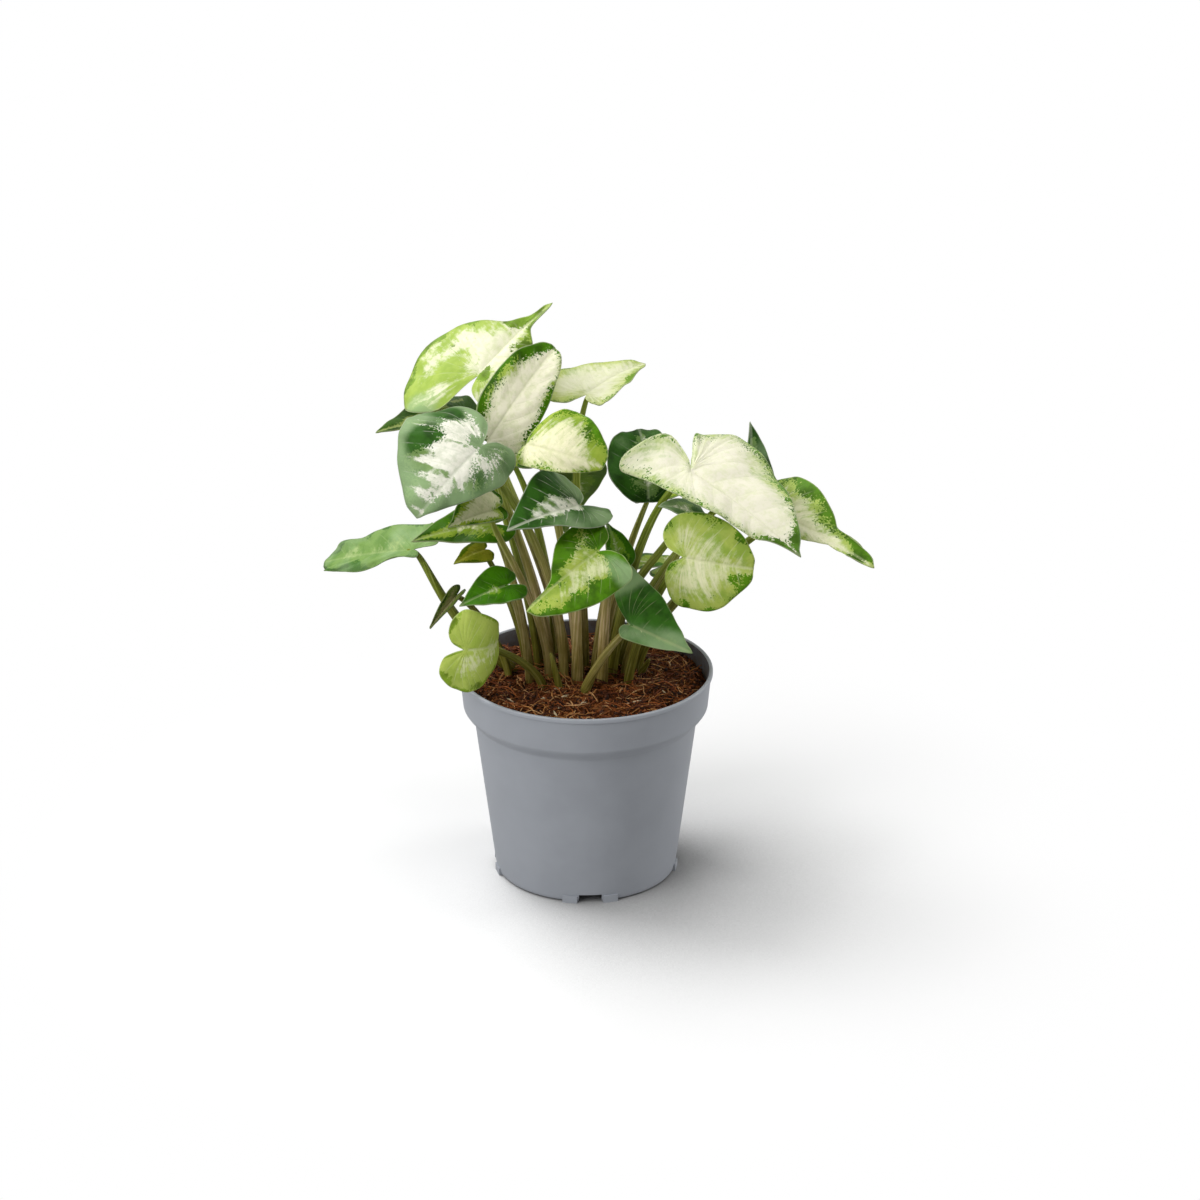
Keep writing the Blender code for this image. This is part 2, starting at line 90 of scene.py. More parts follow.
# The soil, which stays clear of the wall and the floor so that no two faces meet.
SOIL_RADIUS = 57.2
SOIL_EDGE_HEIGHT = 95.0
SOIL_CROWN_HEIGHT = 98.5
SOIL_WALL_GAP = 0.45
SOIL_FLOOR_GAP = 0.3
SOIL_SPOKES = 180
SOIL_RINGS = 66
SOCKET_DEPTH = 6.0

# Leaf blades: one half of an outline, as shares of the length from the petiole to the tip, first
# forwards along the midrib and then sideways.
OUTLINES = {
    "arrow": (
        (1.00, 0.0), (0.92, 0.05), (0.78, 0.14), (0.58, 0.27), (0.34, 0.39), (0.08, 0.46),
        (-0.16, 0.44), (-0.35, 0.35), (-0.45, 0.22), (-0.38, 0.09), (-0.20, 0.03), (-0.04, 0.0),
    ),
    "round": (
        (1.00, 0.0), (0.97, 0.10), (0.88, 0.21), (0.73, 0.31), (0.53, 0.40), (0.28, 0.45),
        (0.02, 0.46), (-0.20, 0.42), (-0.36, 0.32), (-0.42, 0.19), (-0.32, 0.07), (-0.04, 0.0),
    ),
    "tailed": (
        (1.00, 0.0), (0.91, 0.02), (0.80, 0.03), (0.69, 0.045), (0.58, 0.10), (0.46, 0.23),
        (0.24, 0.42), (-0.10, 0.46), (-0.33, 0.40), (-0.45, 0.26), (-0.34, 0.07), (-0.04, 0.0),
    ),
    "waisted": (
        (1.00, 0.0), (0.95, 0.06), (0.86, 0.11), (0.75, 0.13), (0.64, 0.14), (0.54, 0.18),
        (0.42, 0.30), (0.22, 0.43), (-0.08, 0.46), (-0.34, 0.36), (-0.34, 0.10), (-0.04, 0.0),
    ),
    "flared": (
        (1.00, 0.0), (0.88, 0.05), (0.73, 0.12), (0.57, 0.18), (0.40, 0.245), (0.22, 0.30),
        (0.02, 0.35), (-0.20, 0.395), (-0.40, 0.44), (-0.50, 0.37), (-0.38, 0.16), (-0.04, 0.0),
    ),
    "spoon": (
        (1.00, 0.0), (0.99, 0.16), (0.94, 0.29), (0.83, 0.39), (0.65, 0.43), (0.45, 0.42),
        (0.26, 0.37), (0.08, 0.31), (-0.10, 0.27), (-0.24, 0.20), (-0.24, 0.07), (-0.04, 0.0),
    ),
    "oval": (
        (1.00, 0.0), (0.98, 0.09), (0.91, 0.19), (0.79, 0.29), (0.62, 0.36), (0.44, 0.38),
        (0.27, 0.35), (0.13, 0.27), (0.03, 0.18), (-0.03, 0.10), (-0.05, 0.04), (-0.04, 0.0),
    ),
}
# The half width over which a blade curls, and the reach over which its lobes droop, as such shares.
WIDEST = 0.46
LOBE_REACH = 0.45
OUTLINE_STEPS = 6
BLADE_RINGS = 26
BLADE_THICKNESS = 0.5
BLADE_MERGE_METRES = 0.00001

# Petioles.
PETIOLE_TOP_RADIUS = 1.1
PETIOLE_FOOT_RADIUS = 1.7
FOOT_RADIUS_PER_LENGTH = 0.02
PETIOLE_TAPER = 0.8
PETIOLE_SEAT = 1.7
PETIOLE_PITCH = 35.0
COLLAR_HEIGHT = 1.0


class Leaf(NamedTuple):
    """One leaf, as its part places it: pairs are for the left and the right half of the blade.

    Swing carries the inner part of a lobe to the left, and leaves the margin where it is.
    """

    name: str
    base: tuple
    tip: tuple
    root: tuple
    roll: float
    width: object = 1.0
    lobe: object = 1.0
    fold: object = 12.0
    curl: object = 20.0
    bow: float = 25.0
    droop: float = 15.0
    lean: float = 0.35
    rise: float = 0.4
    reach: float = 0.25
    swing: object = 0.0
    outline: object = "arrow"


LEAVES = (
    Leaf("top_left", (-48, 18, 242), (-15, 46, 267), (-10, 14), 15, (1.85, 1.0), (1.5, 0.6), 8, 25, 10,
         outline="tailed"),
    Leaf("top_cream", (-44, -6, 217), (-13, 10, 257), (-16, 5), 45, (0.75, 0.65), (0.4, 0.9), 10, 25,
         25, outline=("oval", "round")),
    Leaf("left_round", (-46, -40, 226), (-74, -56, 198), (-10, -2), -50, (0.95, 1.72), (0.6, 1.0), 0,
         (45, 25), 75, outline=("arrow", "round"), lean=0, rise=0.5),
    Leaf("left_under", (-42, -30, 192), (-61, -46, 190), (-17, -4), -38, (0.6, 1.15), (0.4, 1.0), 15,
         10, lean=0.1),
    Leaf("left_green", (-43, -5, 176), (-79, -15, 171.5), (-26, 1), -35, (0.65, 0.8), 0.6, 10),
    Leaf("far_left", (-81, 8, 158.5), (-125.9, 48, 136.5), (-34, 7), -38, (0.31, 0.54), (0.3, 0.5), 5,
         20, 10, outline=("spoon", "round"), lean=2.6, rise=0.5, reach=0.1),
    Leaf("left_hanging", (-47, 4, 160), (-61, -4, 156), (-28, 13), -30, 0.9, 0.4, 5),
    Leaf("low_left", (-36, -26, 154), (-57, -38, 149), (-26, -7), -25, 1.0, 0.7, 14, 5, 15),
    Leaf("curled", (-60, -4, 140), (-72, -14, 128), (-36, 0), -30, 0.55, 0.5, 50, -10, 10),
    Leaf("over_rim", (-54, -42.5, 129), (-42, -20.5, 127.5), (-20, -14), 90, (1.35, 1.65), (0.6, 0.9),
         5, 20, 120, reach=0.35),
    Leaf("centre_dark", (-3, -32, 195), (-34, -63, 195), (-4, -9), -30, (0.75, 1.1), (0.8, 0.4), 12, 12,
         20),
    Leaf("dome", (-26, -26, 222), (9, -40, 216), (-3, -2), 60, (1.55, 0.5), (0.4, 0.2), 0, (40, 30), 70,
         outline=("oval", "round")),
    Leaf("top_right", (1, 20, 231), (29, 56, 234), (-1, 8), 8, (1.1, 0.6), (0.65, 0.25), 8, 15, 20),
    Leaf("right_cream", (48, -22, 208), (96, -50, 178), (12, -1), 10, (1.55, 0.93), (0.5, 0.88), 12, 25,
         15, swing=(1.2, 1.3), outline=("arrow", "flared")),
    Leaf("far_right", (87, -6, 182), (130.2, -44, 169.6), (24, 8), 34, (0.74, 0.34), (0.7, 0.35),
         outline="waisted"),
    Leaf("behind_right", (76, 22, 186), (77, 32, 213), (15, 9), 30, (0.3, 0.95), 0.5, 10, 30, 30),
    Leaf("inner_right", (29, 0, 185), (25, 24, 212), (7, 3), 5, (1.3, 1.0), 0.2, 12, 25, 60,
         outline="oval"),
    Leaf("right_round", (45.5, -38, 172), (76, -46, 170), (20, -9), 75, (1.5, 1.72), (1.0, 0.8), 8, 25, 30,
         outline="round"),
    Leaf("small_right", (50, -13.5, 185), (33, -18.5, 190), (18, 1), -20, 1.0, 1.0, 10, 20, 30),
    Leaf("centre_low", (6, -50, 180), (-26, -72, 160), (8, -10), -30, (1.05, 0.85), (0.3, 0.6), 12, 25,
         20, outline=("round", "tailed"), lean=0.1),
    Leaf("low_right", (21, -30, 136), (49, -44, 128), (0, -20), 54, (1.85, 0.5), (1.2, 0.3), 15, 15, 15,
         outline=("flared", "arrow"), lean=0.6),
    Leaf("strip", (16, -13.5, 162.5), (10, -9.5, 178.5), (4, -4), -20, 1.0, 0.7, 15, 10, 15),
    Leaf("left_fold", (-56, 31, 215.5), (-96.5, 16, 213.5), (-22, 12), -12, (0.75, 1.2), (0.3, 0.45), 8,
         15, 20),
    Leaf("back_left", (-36, 50, 190), (-70, 67, 180), (-14, 24), 0, 0.9),
    Leaf("back_middle", (-6, 52, 178), (-10, 70, 143), (-3, 20), 0, 0.9),
    Leaf("back_right", (54, 46, 175), (84, 73.5, 166), (7, 17), -10),
    Leaf("back_low", (38, 42, 137), (62, 66, 124), (18, 17), 0),
)

# Young rolled leaves: name, foot on the soil, tip.
SHOOTS = (
    ("shoot_left", (-12, -18), (-16, -20, 118)),
    ("shoot_right", (26, 1), (30, -2, 107)),
)
SHOOT_RADIUS = 1.9
SHOOT_TIP_RADIUS = 0.5
SHOOT_STEPS = 16


class Look(NamedTuple):
    """How a blade is variegated.

    Cream reaches out from the midrib and dark green reaches in from the margin, each by a share of the
    way between them, for the left and the right half. Star draws the cream along the side veins, mottle
    breaks both into patches, dust scatters dark dots, sheen lays a grey-green painted reflection over the
    green, vein whitens the veins and soft is how gradually the cream fades out. A wash is one patch more:
    its field, how far forwards and sideways it lies, its radius (all as shares of the leaf's length) and
    its strength.
    """

    green: str
    middle: str
    pale: str
    cream: tuple
    dark: tuple
    star: float = 0.08
    mottle: float = 0.3
    dust: float = 0.25
    sheen: float = 0.25
    vein: float = 0.25
    soft: float = 0.2
    washes: tuple = ()


LIME = ("#6a9410", "#a9bd42", "#f2f0d0")
FRESH = ("#457606", "#99b038", "#f0edcd")
DEEP = ("#447e05", "#78a028", "#e2e6be")
BLUE = ("#35641a", "#7f9c58", "#fdfbee")

LOOKS = {
    "top_left": Look(
        "#86aa38", "#b5cc60", "#f6f4da", (0.52, 0.52), (0.04, 0.10), mottle=0.9, dust=0.3, sheen=0.1,
        soft=0.45,
        washes=(
            ("cream", 0.10, 0.48, 0.11, -0.75), ("cream", 0.38, 0.40, 0.09, -0.7),
            ("cream", -0.08, 0.28, 0.10, -0.6), ("dark", 0.10, 0.50, 0.10, 0.3),
            ("sheen", -0.5, 0.3, 0.25, 1.3), ("dark", 0.85, -0.03, 0.15, 0.25),
            ("cream", 0.2, 0.1, 0.3, 0.35), ("cream", -0.3, 0.5, 0.25, -0.35),
        ),
    ),
    "top_cream": Look(
        "#4c7f0a", "#a5bb4c", "#f3efd8", (0.72, 0.95), (0.28, -0.08), mottle=0.15, dust=0.7, sheen=0.0,
        soft=0.25,
        washes=(
            ("dark", 0.9, 0.1, 0.15, 0.3), ("cream", 0.6, 0.3, 0.3, -0.2),
            ("dark", 0.55, -0.28, 0.14, 0.45), ("dark", 0.25, -0.3, 0.12, 0.4),
        ),
    ),
    "left_round": Look(
        *BLUE, (0.44, 0.36), (0.40, 0.38), star=0.55, mottle=0.45, dust=0.5, sheen=0.85, vein=0.3,
        washes=(
            ("sheen", 0.6, -0.5, 0.5, 0.3), ("cream", -0.1, -0.1, 0.25, 0.35),
            ("cream", 0.2, 0.0, 0.3, 0.4), ("sheen", 0.32, -0.42, 0.22, -1.4),
            ("dark", 0.32, -0.45, 0.15, 0.8), ("sheen", -0.2, -0.5, 0.2, -0.8),
            ("dark", -0.2, -0.5, 0.15, 0.5),
        ),
    ),
    "left_under": Look(
        *FRESH, (0.50, 0.60), (0.1, 0.25), sheen=0.2, washes=(("cream", -0.1, -0.2, 0.3, 0.3),)
    ),
    "left_green": Look(*FRESH, (0.0, 0.0), (0.45, 0.6), sheen=0.3, vein=0.2),
    "far_left": Look(
        "#4f7d32", "#86a85a", "#b9cc8c", (0.0, 0.0), (0.1, 0.05), mottle=0.25, dust=0.1, sheen=0.6, vein=0.3,
        washes=(
            ("dark", 0.55, -0.05, 0.12, 0.6), ("dark", 0.85, -0.05, 0.08, 0.5),
            ("dark", 0.6, 0.15, 0.12, 0.4), ("sheen", 0.55, -0.02, 0.12, -0.5),
        ),
    ),
    "left_hanging": Look("#5f7a08", "#9c9c26", "#c9c96a", (0.1, 0.1), (0.3, 0.3), mottle=0.5, sheen=0.0),
    "low_left": Look(*DEEP, (0.12, 0.04), (0.9, 0.95), star=0.1, sheen=0.2, vein=0.25),
    "curled": Look("#3f5f1a", "#76853e", "#aaa37a", (0.3, 0.3), (0.2, 0.2), sheen=0.2),
    "over_rim": Look(
        "#9aba38", "#c3d468", "#e9ecc0", (0.03, 0.04), (0.10, 0.12), star=0.15, mottle=0.4, dust=0.05,
        sheen=0.1, vein=0.55, washes=(("cream", -0.12, -0.2, 0.18, 0.15), ("cream", 0.1, -0.05, 0.16, 0.2)),
    ),
    "centre_dark": Look(
        *BLUE, (0.20, 0.16), (0.90, 0.90), star=0.5, mottle=0.4, dust=0.25, sheen=0.2, vein=0.6, soft=0.35,
        washes=(
            ("dark", 0.03, 0.0, 0.12, -1.0), ("dark", 0.45, 0.02, 0.2, -0.35),
            ("sheen", -0.3, -0.35, 0.3, 1.3), ("sheen", -0.25, 0.35, 0.3, 1.1),
            ("sheen", 0.45, 0.3, 0.3, 0.6), ("cream", 0.05, 0.0, 0.13, 0.7),
        ),
    ),
    "dome": Look(
        "#5f9410", "#a9bf48", "#f8f4d2", (0.50, 0.76), (0.08, -0.06), mottle=0.35, dust=0.7, sheen=0.0,
        soft=0.3,
        washes=(
            ("dark", 0.75, 0.35, 0.2, 0.25), ("cream", 0.25, 0.1, 0.35, 0.3),
            ("dark", 0.8, -0.12, 0.12, 0.2), ("cream", 0.1, 0.55, 0.3, -0.4),
            ("cream", 0.85, 0.2, 0.25, -0.5),
        ),
    ),
    "top_right": Look(
        "#7da33a", "#cad67e", "#f6f5da", (0.6, 0.66), (0.0, 0.05), mottle=0.3, dust=0.4, sheen=0.1, soft=0.45,
        washes=(("dark", 0.45, -0.22, 0.12, 0.4), ("sheen", 0.2, 0.4, 0.3, 0.4)),
    ),
    "right_cream": Look(
        "#6a9a30", "#cbd98a", "#fdf9e6", (0.86, 0.90), (-0.02, -0.03), mottle=0.2, dust=0.6, sheen=0.0,
        soft=0.35,
        washes=(
            ("dark", 0.15, 0.55, 0.14, 0.35), ("dark", 0.92, 0.03, 0.15, 0.6),
            ("dark", 0.5, 0.4, 0.12, 0.3), ("dark", -0.35, 0.3, 0.12, 0.2),
            ("cream", 0.3, 0.5, 0.3, -0.3),
        ),
    ),
    "far_right": Look(
        "#5c8a1c", "#b4c864", "#f4f2d4", (0.25, 0.6), (0.30, 0.0), mottle=0.5, dust=0.9, sheen=0.05,
        soft=0.35,
        washes=(
            ("dark", 0.2, 0.35, 0.15, 0.3), ("dark", 0.85, 0.05, 0.14, 0.6),
            ("cream", 0.6, -0.1, 0.2, 0.4),
        ),
    ),
    "behind_right": Look(*BLUE, (0.0, 0.0), (0.7, 0.7), sheen=0.6),
    "inner_right": Look(*BLUE, (0.0, 0.15), (0.62, 0.5), star=0.1, sheen=0.3, dust=0.3),
    "right_round": Look(
        "#669a1a", "#bccc62", "#f6f3d2", (0.16, 0.20), (-0.02, -0.02), star=0.2, mottle=0.5, dust=0.5,
        sheen=0.0, vein=0.5, soft=0.5,
        washes=(
            ("dark", 0.66, -0.16, 0.15, 0.9), ("dark", 0.45, -0.45, 0.12, 0.35),
            ("dark", 0.75, 0.35, 0.08, 0.35), ("cream", 0.12, -0.12, 0.22, 0.45),
            ("cream", 0.6, 0.2, 0.3, -0.2),
        ),
    ),
    "small_right": Look(*BLUE, (0.0, 0.0), (0.6, 0.6), sheen=0.6),
    "centre_low": Look(
        "#5a9010", "#b4c658", "#e8ebbe", (0.0, 0.0), (0.40, 0.32), star=0.0, mottle=0.9, dust=0.9, sheen=0.0,
        vein=0.35, soft=0.4,
        washes=(
            ("dark", 0.35, 0.28, 0.14, 0.4), ("dark", 0.15, -0.3, 0.16, 0.4),
            ("cream", 0.0, 0.0, 0.2, 0.2), ("sheen", -0.1, 0.4, 0.3, 1.1),
            ("dark", -0.1, 0.45, 0.25, 0.5), ("dark", 0.4, -0.1, 0.12, 0.35),
        ),
    ),
    "low_right": Look(
        "#437a22", "#7ea044", "#dde0b4", (0.08, 0.0), (0.9, 0.6), star=0.3, mottle=0.3, dust=0.15, sheen=0.45,
        vein=0.4,
        washes=(
            ("dark", 0.25, 0.4, 0.3, 0.5), ("sheen", 0.2, 0.35, 0.25, -0.8),
            ("sheen", 0.6, -0.1, 0.3, 0.8), ("sheen", -0.4, 0.8, 0.4, 1.0),
            ("cream", 0.0, 0.0, 0.15, 0.3),
        ),
    ),
    "strip": Look(*DEEP, (0.0, 0.0), (0.6, 0.6), sheen=0.1),
    "left_fold": Look("#3a5f10", "#8c9a50", "#c5cc98", (0.0, 0.0), (0.6, 0.6), mottle=0.6, sheen=0.3),
    "back_left": Look(*FRESH, (0.35, 0.35), (0.25, 0.25), star=0.2, mottle=0.4),
    "back_middle": Look(*DEEP, (0.15, 0.15), (0.5, 0.5), star=0.25),
    "back_right": Look(*LIME, (0.6, 0.6), (0.12, 0.18), mottle=0.35, dust=0.4),
    "back_low": Look(*FRESH, (0.25, 0.25), (0.3, 0.3), mottle=0.4),
}

# The fields that a blade's skin is painted from.
FIELDS = ("cream", "dark", "sheen", "vein", "edge", "rib")
# The grey-green of the painted sheen, a painted reflection laid over the green parts of the leaves.
PAINTED_SHEEN_TINT = "#a4c08d"
UNDER_TINT = "#9cae5c"


# ---------------------------------------------------------------------------------------------
# Materials
# ---------------------------------------------------------------------------------------------

# The sockets and settings of a Mix node for colours, the settings of a Map Range node that climbs
# smoothly, and the usual detail of a noise.
FACTOR, FIRST, SECOND, MIXED = 0, 6, 7, 2
COLOUR = {"data_type": "RGBA"}
SMOOTH = {"interpolation_type": "SMOOTHSTEP"}
CLOUDY = {"Detail": 3.0, "Roughness": 0.6}


def linear(colour):
    """A hex colour as linear red, green, blue and alpha."""
    parts = [int(colour[place : place + 2], 16) / 255 for place in (1, 3, 5)]
    return (*(x / 12.92 if x <= 0.04045 else ((x + 0.055) / 1.055) ** 2.4 for x in parts), 1.0)


def add(tree, kind, inputs=(), output=0, ramp=(), **settings):
    """Adds a node with its settings, links or fills its inputs, and returns one of its outputs, if any."""
    node = tree.nodes.new("ShaderNode" + kind)
    for name, value in settings.items():
        setattr(node, name, value)
    for key, value in inputs.items() if isinstance(inputs, dict) else enumerate(inputs):
        if isinstance(value, bpy.types.NodeSocket):
            tree.links.new(value, node.inputs[key])
        else:
            node.inputs[key].default_value = value
    for index, (place, colour) in enumerate(ramp):
        stops = node.color_ramp.elements
        stop = stops[index] if index < len(stops) else stops.new(place)
        stop.position = place
        stop.color = linear(colour)
    return node.outputs[output] if node.outputs else None


def new_material(name):
    """An empty material and its node tree."""
    material = bpy.data.materials.new(name)
    material.use_nodes = True
    material.node_tree.nodes.clear()
    return material, material.node_tree


def leaf_colours(tree, look):
    """The blade's colour and the height of its relief, from its mesh's fields."""
    place = add(tree, "Attribute", output="Vector", attribute_name="flat")
    cream_field, dark_field, sheen_field, vein_field, edge, rib = (
        add(tree, "Attribute", output="Fac", attribute_name=name) for name in FIELDS
    )
    green_hue, middle_hue, pale_hue = linear(look.green), linear(look.middle), linear(look.pale)

    # The greens: living tissue is never even, so a soft cloud 9 mm across darkens it.
    soft = add(tree, "TexNoise", {"Vector": place, "Scale": 1 / 9.0, **CLOUDY})
    shade = add(tree, "MapRange", (soft, 0.38, 0.66), **SMOOTH)
    fine = add(tree, "TexNoise", {"Vector": place, "Scale": 1 / 1.1, "Detail": 2.0, "Roughness": 0.7})
    splash = add(tree, "TexNoise", {"Vector": place, "Scale": 1 / 3.2, "Detail": 4.0, "Roughness": 0.65})
    deep = (*(channel * 0.5 for channel in green_hue[:3]), 1.0)
    green = add(tree, "Mix", {FACTOR: shade, FIRST: green_hue, SECOND: deep}, MIXED, **COLOUR)
    light = add(tree, "Mix", {FACTOR: shade, FIRST: middle_hue, SECOND: green_hue}, MIXED, **COLOUR)
    middle = add(tree, "Mix", {FACTOR: 0.45, FIRST: middle_hue, SECOND: light}, MIXED, **COLOUR)

    # Every pattern is drawn out along the side veins, in streaks some 2 mm wide and 6 mm long.
    across = add(tree, "Math", (vein_field, 4.0), operation="MULTIPLY")
    outward = add(tree, "Math", (edge, 0.18), operation="MULTIPLY")
    grain = add(tree, "CombineXYZ", (across, outward, look.mottle * 40.0))
    streak = add(tree, "TexNoise", {"Vector": grain, "Scale": 1.0, **CLOUDY})
    swing = add(tree, "Math", (streak, 0.5), operation="SUBTRACT")
    broken = add(tree, "Math", (swing, 0.8, splash), operation="MULTIPLY_ADD")

    # Cream fades out through the light green, over patches a few millimetres across.
    raggedness = 0.8 + 1.2 * look.mottle
    halfway = 0.4 + 0.6 * look.mottle
    rough_cream = add(tree, "Math", (broken, raggedness, cream_field), operation="MULTIPLY_ADD")
    pale = add(tree, "MapRange", (rough_cream, halfway - look.soft, halfway + look.soft), **SMOOTH)
    tinted = add(tree, "Mix", {FACTOR: 0.4, FIRST: pale_hue, SECOND: middle_hue}, MIXED, **COLOUR)
    faded = add(tree, "Mix", {FACTOR: 0.24, FIRST: pale_hue, SECOND: middle_hue}, MIXED, **COLOUR)
    clouded = add(tree, "MapRange", (splash, 0.42, 0.66), **SMOOTH)
    cream = add(tree, "Mix", {FACTOR: clouded, FIRST: pale_hue, SECOND: faded}, MIXED, **COLOUR)
    light_body = add(tree, "Mix", {FACTOR: pale, FIRST: middle, SECOND: cream}, MIXED, **COLOUR)

    # Dark green ends crisply, in crumbs and dots of half a millimetre.
    rough_dark = add(tree, "Math", (broken, 0.6, dark_field), operation="MULTIPLY_ADD")
    dusty = add(tree, "Math", (fine, look.dust * 2.0, rough_dark), operation="MULTIPLY_ADD")
    start = 0.3 + look.dust
    dark = add(tree, "MapRange", (dusty, start - 0.04, start + 0.05), **SMOOTH)
    body = add(tree, "Mix", {FACTOR: dark, FIRST: light_body, SECOND: green}, MIXED, **COLOUR)

    # Painted sheen: a grey-green painted reflection greys the green parts in wide patches, where the sheen
    # field and the splash noise run high.
    waxy = add(tree, "Math", (splash, 0.3, sheen_field), operation="MULTIPLY_ADD")
    painted_sheen_strength = add(tree, "MapRange", (waxy, 0.5, 1.2, 0.0, 0.75), **SMOOTH)
    not_dark = add(tree, "Math", (1.0, dark), operation="SUBTRACT")
    bare_cream = add(tree, "Math", (pale, not_dark), operation="MULTIPLY")
    leaf_green = add(tree, "Math", (1.0, bare_cream), operation="SUBTRACT")
    painted_sheen_share = add(tree, "Math", (painted_sheen_strength, leaf_green), operation="MULTIPLY")
    painted_sheen_colour = add(tree, "Mix", {FACTOR: painted_sheen_share, FIRST: body, SECOND: linear(PAINTED_SHEEN_TINT)}, MIXED, **COLOUR)

    # Veins: side veins are where the vein field is a whole number, and the midrib where rib is 0.
    shifted = add(tree, "Math", (vein_field, 0.5), operation="ADD")
    saw = add(tree, "Math", (shifted,), operation="FRACT")
    off_vein = add(tree, "Math", (saw, 0.5), operation="SUBTRACT")
    gap = add(tree, "Math", (off_vein,), operation="ABSOLUTE")
    inward = add(tree, "MapRange", (edge, 1.0, 6.0), **SMOOTH)
    on_vein = add(tree, "MapRange", (gap, 0.075, 0.012), **SMOOTH)
    side_vein = add(tree, "Math", (on_vein, inward), operation="MULTIPLY")
    midrib = add(tree, "MapRange", (rib, 0.95, 0.3), **SMOOTH)
    lines = add(tree, "Math", (side_vein, midrib), operation="MAXIMUM")
    uneven = add(tree, "MapRange", (soft, 0.35, 0.6), **SMOOTH)
    patchy = add(tree, "Math", (side_vein, uneven), operation="MULTIPLY")
    seen = add(tree, "Math", (patchy, midrib), operation="MAXIMUM")
    whitened = add(tree, "Math", (seen, look.vein), operation="MULTIPLY")
    rim = add(tree, "MapRange", (edge, 0.5, 0.15), **SMOOTH)
    pale_rim = add(tree, "Math", (rim, 0.42), operation="MULTIPLY")
    pale_lines = add(tree, "Math", (whitened, pale_rim), operation="MAXIMUM")
    veined = add(tree, "Mix", {FACTOR: pale_lines, FIRST: painted_sheen_colour, SECOND: tinted}, MIXED, **COLOUR)

    # The net of small veins between them, as a fine relief of cells 2 mm across.
    inputs = {"Vector": place, "Scale": 1 / 2.0}
    cells = add(tree, "TexVoronoi", inputs, "Distance", feature="DISTANCE_TO_EDGE")
    net = add(tree, "MapRange", (cells, 0.0, 0.25, 0.0, 0.5), **SMOOTH)
    return veined, add(tree, "Math", (lines, -1.0, net), operation="MULTIPLY_ADD")


def leaf_top(name, look):
    """Leaf blade, upper side: a thin waxy skin, so it is satin, lets some light through and shows veins."""
    material, tree = new_material(name)
    colour, relief = leaf_colours(tree, look)
    bump = add(tree, "Bump", {"Height": relief, "Distance": 0.00012, "Strength": 0.5})
    inputs = {"Base Color": colour, "Roughness": 0.42, "IOR": 1.45, "Specular IOR Level": 0.1, "Normal": bump}
    skin = add(tree, "BsdfPrincipled", inputs)
    glow = add(tree, "BsdfTranslucent", {"Color": colour, "Normal": bump})
    add(tree, "OutputMaterial", {"Surface": add(tree, "MixShader", (0.22, skin, glow))})
    return material


def leaf_under(name, look):
    """Leaf blade, underside: matt, and paler and yellower than the top."""
    material, tree = new_material(name)
    colour, relief = leaf_colours(tree, look)
    matt = add(tree, "Mix", {FACTOR: 0.35, FIRST: colour, SECOND: linear(UNDER_TINT)}, MIXED, **COLOUR)
    bump = add(tree, "Bump", {"Height": relief, "Distance": 0.00015, "Strength": 0.5}, invert=True)
    inputs = {"Base Color": matt, "Roughness": 0.6, "IOR": 1.45, "Specular IOR Level": 0.1, "Normal": bump}
    skin = add(tree, "BsdfPrincipled", inputs)
    glow = add(tree, "BsdfTranslucent", {"Color": matt})
    add(tree, "OutputMaterial", {"Surface": add(tree, "MixShader", (0.3, skin, glow))})
    return material


